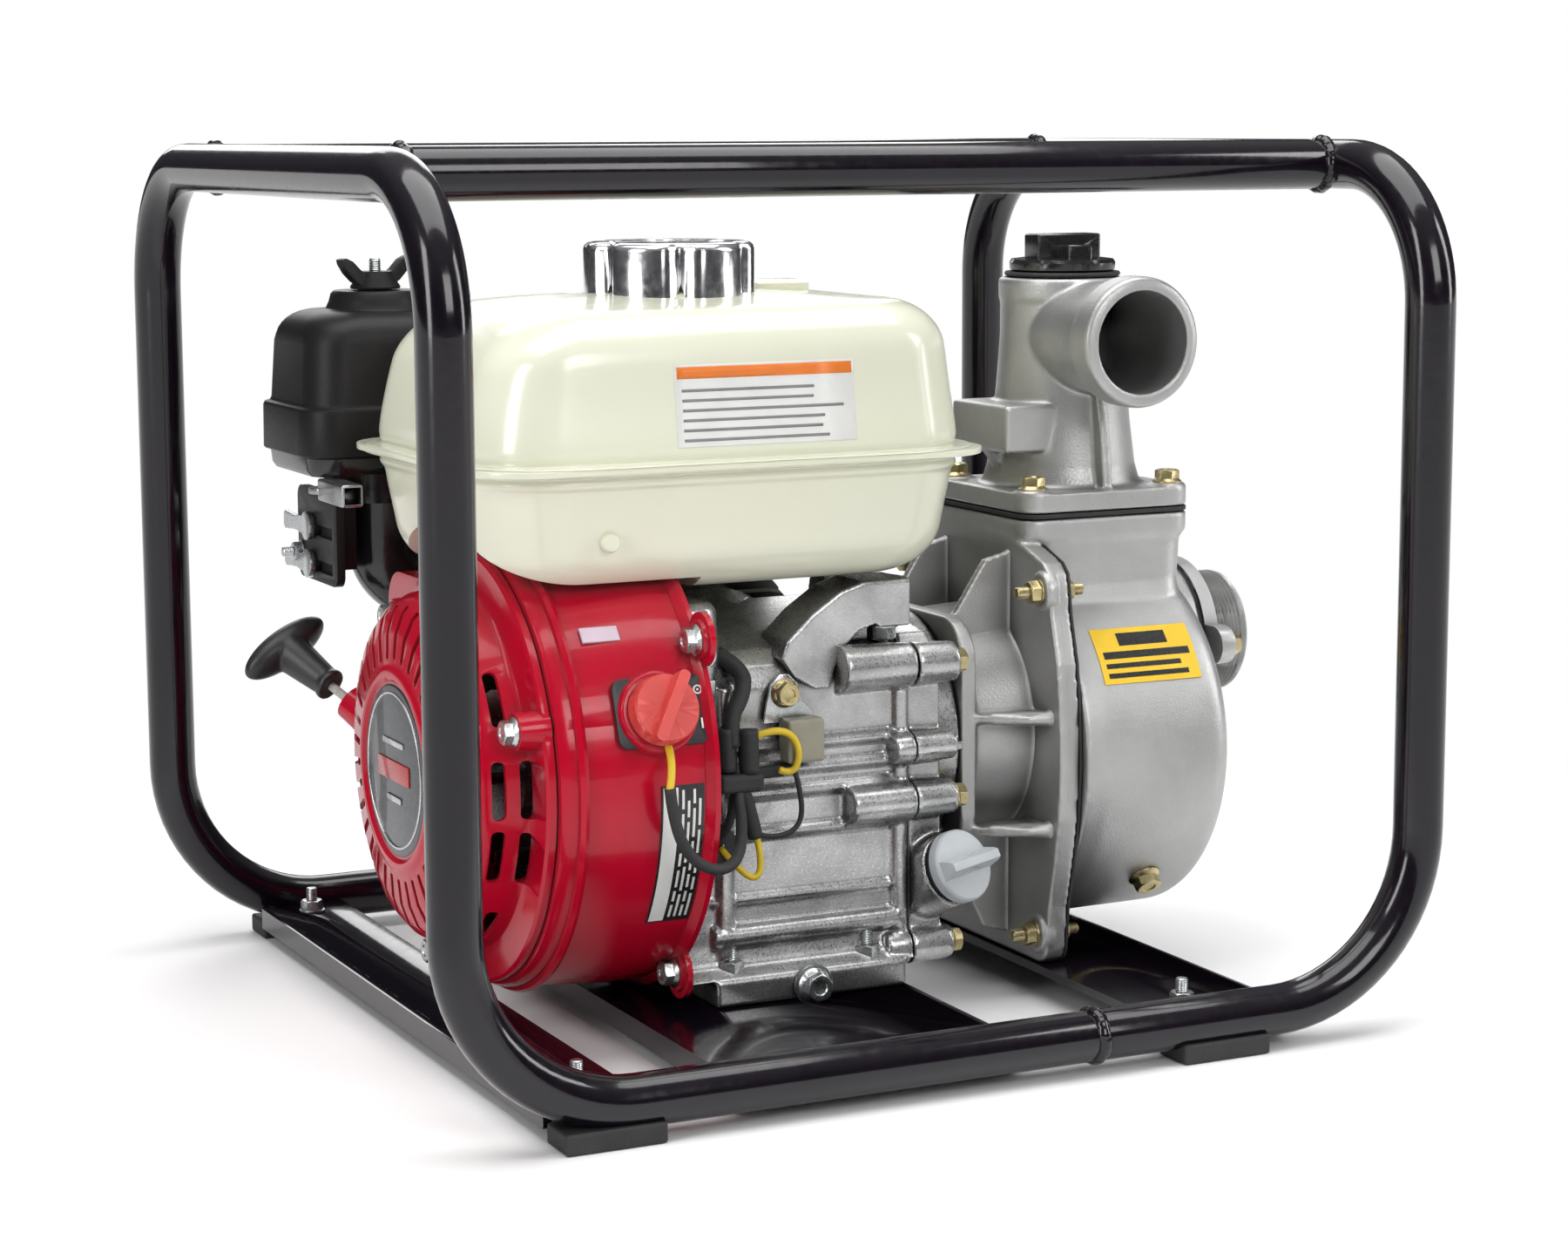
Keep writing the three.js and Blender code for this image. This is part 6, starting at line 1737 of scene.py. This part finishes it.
# Carburettor and fuel hose
# A small zinc-alloy body with a round float bowl below, clamped between the elbow and the head, and the
# rubber hose that brings the fuel down from the tank.
carb = rod("carburettor_casting", (-0.1160, *intake_axis), (-0.0830, *intake_axis), 0.0150)
for extra in (
    block("body", (-0.0995, *intake_axis), (0.033, 0.024, 0.024), 0.0015),
    turned("bowl", "z", (-0.100, 0.116, 0), [(0, 0.1462), (0.0105, 0.1462), (0.0145, 0.1490),
                                             (0.0158, 0.1540), (0.0160, 0.1690), (0.0172, 0.1700),
                                             (0.0172, 0.1730), (0, 0.1730)], 64),
):
    boolean(carb, extra, "UNION")
eased(carb, 0.0005, 2, 34)
fitted(carb, die_cast, "pump_set", "die_cast", "carburettor")


def cable(name, radius, points):
    """A wire laid through points as a smooth curve, and turned into a mesh with closed ends."""
    bpy.ops.object.select_all(action="DESELECT")
    bpy.ops.curve.primitive_nurbs_path_add(location=(0, 0, 0))
    path_object = bpy.context.object
    curve = path_object.data
    curve.splines.clear()
    run = curve.splines.new("NURBS")
    run.points.add(len(points) - 1)
    for point, at in zip(run.points, points):
        point.co = (*at, 1)
    run.order_u = 3
    run.use_endpoint_u = True
    curve.resolution_u = 10
    curve.bevel_depth = radius
    curve.bevel_resolution = 4
    curve.use_fill_caps = True
    only(path_object)
    bpy.ops.object.convert(target="MESH")
    piece = settled(name)
    bpy.ops.object.shade_smooth()
    return merged(piece)


hose_run = [(-0.096, 0.0783, 0.224), (-0.096, 0.092, 0.224), (-0.096, 0.092, 0.186), (-0.096, 0.1006, 0.186)]
fitted(cable("fuel_hose_run", 0.0035, hose_run), rubber, "pump_set", "rubber", "fuel_hose")
spark_run = [(-0.0799, 0.073, 0.094), (-0.064, 0.073, 0.094), (-0.058, 0.130, 0.096), (0.046, 0.136, 0.104),
             (0.046, 0.149, 0.150)]
fitted(cable("ignition_lead_run", 0.0035, spark_run), rubber, "pump_set", "rubber", "ignition_lead")
coated(rubber, "spark_plug_cap")


# Muffler and its guard
# A pressed steel box behind the tank, blackened by heat, with a pipe from the head and a short tail. A
# slotted sheet guard covers its top.
# Its occlusion amount paints shade into its hollows and joints.
exhaust_black = finish(
    "heat_resistant_black", (0.030, 0.029, 0.028), (0.018, 0.016, 0.015), patch=30, grain_size=700,
    rough=(0.5, 0.65), relief=0.0001, wear=0.4, worn_to=(0.12, 0.07, 0.05), painted_shade=0.6,
)
silencer = slab("muffler_shell", "x", rounded_corners((0.086, 0.236), (0.166, 0.306), 0.022), -0.044, 0.072)
eased(silencer, 0.007, 4, 40)
exhaust_pipe = bent_tube("exhaust_pipe", (0.0306, 0.118, 0.190), X, 0.011,
                         [0.0054, (Z, 0.014, quarter), 0.046])
for extra in (exhaust_pipe, rod("tail", (0.052, 0.150, 0.262), (0.052, 0.178, 0.262), 0.009)):
    boolean(silencer, extra, "UNION")
boolean(silencer, rod("tail_bore", (0.052, 0.162, 0.262), (0.052, 0.190, 0.262), 0.0072))
fitted(silencer, exhaust_black, "pump_set", "dark_steel", "muffler")
coated(exhaust_black, "muffler_guard")


# Wiring on the crankcase
# The switch wire hangs in a loop inside a black sleeve, and runs with the coil and oil-alert wires into a
# rubber strap. Bullet connectors join them, and one yellow wire goes through a grommet into the crankcase.
yellow_wire = finish("yellow_insulation", (0.72, 0.52, 0.02), (0.60, 0.42, 0.015), patch=60,
                     grain_size=1500, rough=(0.35, 0.45))
switch_run = [(-0.1045, -0.1250, 0.1440), (-0.1050, -0.1330, 0.1380), (-0.1085, -0.1355, 0.1260)]
fitted(cable("switch_wire_yellow", 0.0017, switch_run), yellow_wire, "pump_set", "yellow_insulation",
       "switch_wire")
sleeve_run = [
    (-0.1082, -0.1354, 0.1275), (-0.1070, -0.1365, 0.1120), (-0.1000, -0.1375, 0.0970),
    (-0.0880, -0.1375, 0.0900), (-0.0740, -0.1300, 0.0920), (-0.0620, -0.1080, 0.1020),
    (-0.0570, -0.0930, 0.1120), (-0.0565, -0.0905, 0.1260),
]
wiring = [
    ("switch_sleeve", 0.0025, sleeve_run, rubber),
    ("upper_cable", 0.0038, [(-0.058, -0.074, 0.172), (-0.050, -0.084, 0.166), (-0.053, -0.090, 0.156),
                             (-0.061, -0.092, 0.146), (-0.059, -0.092, 0.134)], rubber),
    ("connector_left", 0.0042, [(-0.0615, -0.0910, 0.1420), (-0.0612, -0.0915, 0.1230)], rubber),
    ("connector_right", 0.0046, [(-0.0520, -0.0930, 0.1410), (-0.0518, -0.0935, 0.1220)], rubber),
    ("yellow_ring", 0.0016, [(-0.0500, -0.0930, 0.1370), (-0.0440, -0.0960, 0.1405),
                             (-0.0330, -0.0970, 0.1390), (-0.0280, -0.0960, 0.1290),
                             (-0.0310, -0.0945, 0.1190), (-0.0370, -0.0930, 0.1220)], yellow_wire),
    ("thin_black_loop", 0.0012, [(-0.0300, -0.0950, 0.1200), (-0.0270, -0.0960, 0.1080),
                                 (-0.0290, -0.0970, 0.0960), (-0.0400, -0.0960, 0.0920),
                                 (-0.0490, -0.0930, 0.0940)], rubber),
    ("lower_sleeve", 0.0034,
     [(-0.0550, -0.0920, 0.1160), (-0.0520, -0.0940, 0.1060), (-0.0490, -0.0935, 0.0930)], rubber),
    ("yellow_drop", 0.0015, [(-0.0485, -0.0935, 0.0940), (-0.0460, -0.0940, 0.0820),
                             (-0.0490, -0.0950, 0.0740), (-0.0560, -0.0930, 0.0780),
                             (-0.0610, -0.0830, 0.0870)], yellow_wire),
    ("black_tail", 0.0020, [(-0.0580, -0.0915, 0.1160), (-0.0600, -0.0930, 0.1000),
                            (-0.0640, -0.0860, 0.0920), (-0.0620, -0.0800, 0.0880)], rubber),
]
for wire_name, girth, run_points, cover_finish in wiring:
    slot_name = "yellow_insulation" if cover_finish is yellow_wire else "rubber"
    fitted(cable(wire_name, girth, run_points), cover_finish, "pump_set", slot_name)
strap = block("wire_strap", (-0.0565, -0.0905, 0.1180), (0.0210, 0.0150, 0.0085), 0.0024)
fitted(strap, rubber, "pump_set", "rubber")
strap_tail = block("wire_strap_tail", (-0.0400, -0.0865, 0.1200), (0.0160, 0.0040, 0.0052), 0.0012)
fitted(strap_tail, rubber, "pump_set", "rubber")
grommet = turned("wire_grommet", "y", (-0.0620, -0.0815, 0.0880),
                 [(0.0025, -0.0030), (0.0082, -0.0030), (0.0092, -0.0018), (0.0092, 0.0022),
                  (0.0025, 0.0022)], 48)
eased(grommet, 0.0006, 2)
fitted(grommet, rubber, "pump_set", "rubber")

plate_outline = [
    (-0.0400, 0.1410), (-0.0385, 0.1500), (-0.0365, 0.1580), (-0.0320, 0.1625), (-0.0280, 0.1625),
    (-0.0235, 0.1580), (-0.0215, 0.1500), (-0.0160, 0.1440), (-0.0160, 0.1280), (-0.0320, 0.1280),
    (-0.0320, 0.1410),
]
coil_plate = slab("oil_alert_bracket", "y", plate_outline, -0.0838, -0.0822)
eased(coil_plate, 0.0004, 2)
fitted(coil_plate, zinc, "pump_set", "steel")
# Its occlusion amount paints shade into its hollows and joints.
olive = finish("olive_unit", (0.30, 0.29, 0.22), (0.25, 0.24, 0.18), patch=60, grain_size=900,
               rough=(0.3, 0.4), relief=0.00004, painted_shade=0.4)
alert_unit = block("oil_alert_unit", (-0.0235, -0.0885, 0.1335), (0.0180, 0.0100, 0.0195), 0.0016)
fitted(alert_unit, olive, "pump_set", "steel")
fastener(bolt_pattern, "oil_alert_bolt", (-0.0300, -0.0838, 0.1540), -Y, 0.0095, yellow_zinc, "pump_set")
tab = block("lifting_tab", (-0.0690, -0.0805, 0.1570), (0.0150, 0.0016, 0.0095), 0.0007)
fitted(tab, zinc, "pump_set", "steel")
rivet = ball("tab_rivet", (-0.0725, -0.0813, 0.1575), (0.0022, 0.0010, 0.0022))
fitted(rivet, zinc, "pump_set", "steel")


# Labels
# Thin printed films stuck on the shroud, the tank and the casing. Their lines stand for print and spell
# nothing.
label_pale = finish("label_lavender", (0.62, 0.50, 0.58), (0.56, 0.45, 0.53), patch=90, rough=(0.3, 0.4))
label_black = finish("label_black", (0.014, 0.014, 0.014), (0.010, 0.010, 0.010), patch=90,
                     rough=(0.25, 0.35))
label_white = finish("label_white", (0.74, 0.74, 0.72), (0.68, 0.68, 0.66), patch=90, rough=(0.3, 0.4))
label_yellow = finish("label_yellow", (0.80, 0.52, 0.02), (0.72, 0.46, 0.02), patch=90, rough=(0.3, 0.4))
label_grey = finish("label_print", (0.22, 0.22, 0.22), (0.18, 0.18, 0.18), patch=90, rough=(0.3, 0.4))
label_orange = finish("label_orange", (0.78, 0.20, 0.02), (0.70, 0.17, 0.02), patch=90, rough=(0.3, 0.4))


def film(name, low_x, high_x, low_angle, high_angle, radius, colour, centre=None):
    """A strip of film that follows a drum about an axis along X, on its near side. Angles are degrees above
    level."""
    middle = centre if centre else axis_point
    steps = max(2, int((high_angle - low_angle) / 2))
    turns = [math.radians(low_angle + (high_angle - low_angle) * step / steps) for step in range(steps + 1)]
    outer = [(middle.y - radius * math.cos(turn), middle.z + radius * math.sin(turn)) for turn in turns]
    inner = [(middle.y - (radius - 0.0012) * math.cos(turn),
              middle.z + (radius - 0.0012) * math.sin(turn)) for turn in reversed(turns)]
    piece = slab(name, "x", outer + inner, low_x, high_x)
    return fitted(piece, colour, "pump_set", "black_plastic")


film("shroud_label", -0.1065, -0.0868, -35, 2, drum_r + 0.00025, label_black)
film("shroud_label_band", -0.1058, -0.0990, -34.5, 1.5, drum_r + 0.00040, label_white)
random.seed(4)
for line_number in range(4):
    line_x = -0.0972 + line_number * 0.0026
    reach = -33.5
    while reach < -1:
        length = 2.5 + 5.5 * random.random()
        film(f"shroud_print_{line_number}_{int(-reach * 10)}", line_x, line_x + 0.0011, reach,
             min(reach + length, 0.8), drum_r + 0.00042, label_white)
        reach += length + 1.2
film("shroud_small_label", -0.1320, -0.1150, 38.5, 42.5, drum_r - 0.0006, label_pale)



def skin_patch(name, source, lift, low, high, colour, slot_name):
    """A film cut from a piece's own surface, raised a little above it, inside a box."""
    only(source)
    bpy.ops.object.duplicate()
    piece = bpy.context.object
    piece.name = piece.data.name = name
    modified(piece, "DISPLACE", strength=lift, mid_level=0)
    centre = (Vector(low) + Vector(high)) / 2
    boolean(piece, block("patch_room", centre, Vector(high) - Vector(low)), "INTERSECT")
    return fitted(piece, colour, "pump_set", slot_name)


label_left, label_right = -0.0870, -0.0020
skin_patch("tank_label", upper, 0.00025, (label_left, -0.115, 0.2660), (label_right, -0.055, 0.3010),
           label_white, "tank_enamel")
skin_patch("tank_label_band", upper, 0.00040, (label_left + 0.001, -0.115, 0.2950),
           (label_right - 0.001, -0.055, 0.3000), label_orange, "tank_enamel")
for line_number in range(6):
    line_z = 0.2906 - line_number * 0.0042
    line_end = label_right - 0.004 - 0.018 * random.random()
    skin_patch(f"tank_print_{line_number}", upper, 0.00040, (label_left + 0.003, -0.115, line_z - 0.0012),
               (line_end, -0.055, line_z), label_grey, "tank_enamel")
drum_centre = Vector((0, crank.y, drum_middle))
film("pump_label", 0.1270, 0.1790, 25, 44, 0.08530, label_yellow, drum_centre)
for line_number, (from_angle, to_angle, from_x, to_x) in enumerate((
    (37.5, 42.0, 0.1400, 0.1660), (33.2, 35.6, 0.1300, 0.1760), (30.0, 31.6, 0.1300, 0.1700),
    (26.8, 28.4, 0.1300, 0.1730),
), 1):
    film(f"pump_print_{line_number}", from_x, to_x, from_angle, to_angle, 0.08542, label_black, drum_centre)


# Feet and frame nuts
# Four moulded rubber blocks under the ends of the cross plates, and the nuts that hold them.
for foot_name in ("foot_near_left", "foot_near_right", "foot_far_left", "foot_far_right"):
    low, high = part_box(foot_name)
    pad = block(foot_name + "_pad", (low + high) / 2, (high - low) * 0.996, 0.0014)
    fitted(pad, rubber, "pump_set", "rubber", foot_name)
for number, (a, b) in enumerate(((-0.167, -0.172), (-0.167, 0.172), (0.122, -0.172), (0.122, 0.172)), 1):
    fastener(nut_pattern, f"foot_nut_{number}", (a, b, 0.0160), Z, 0.0095, zinc, "pump_set")
coated(rubber, "suction_gasket")


# The patterns were only for copying.
for pattern in (bolt_pattern, nut_pattern):
    bpy.data.objects.remove(pattern)
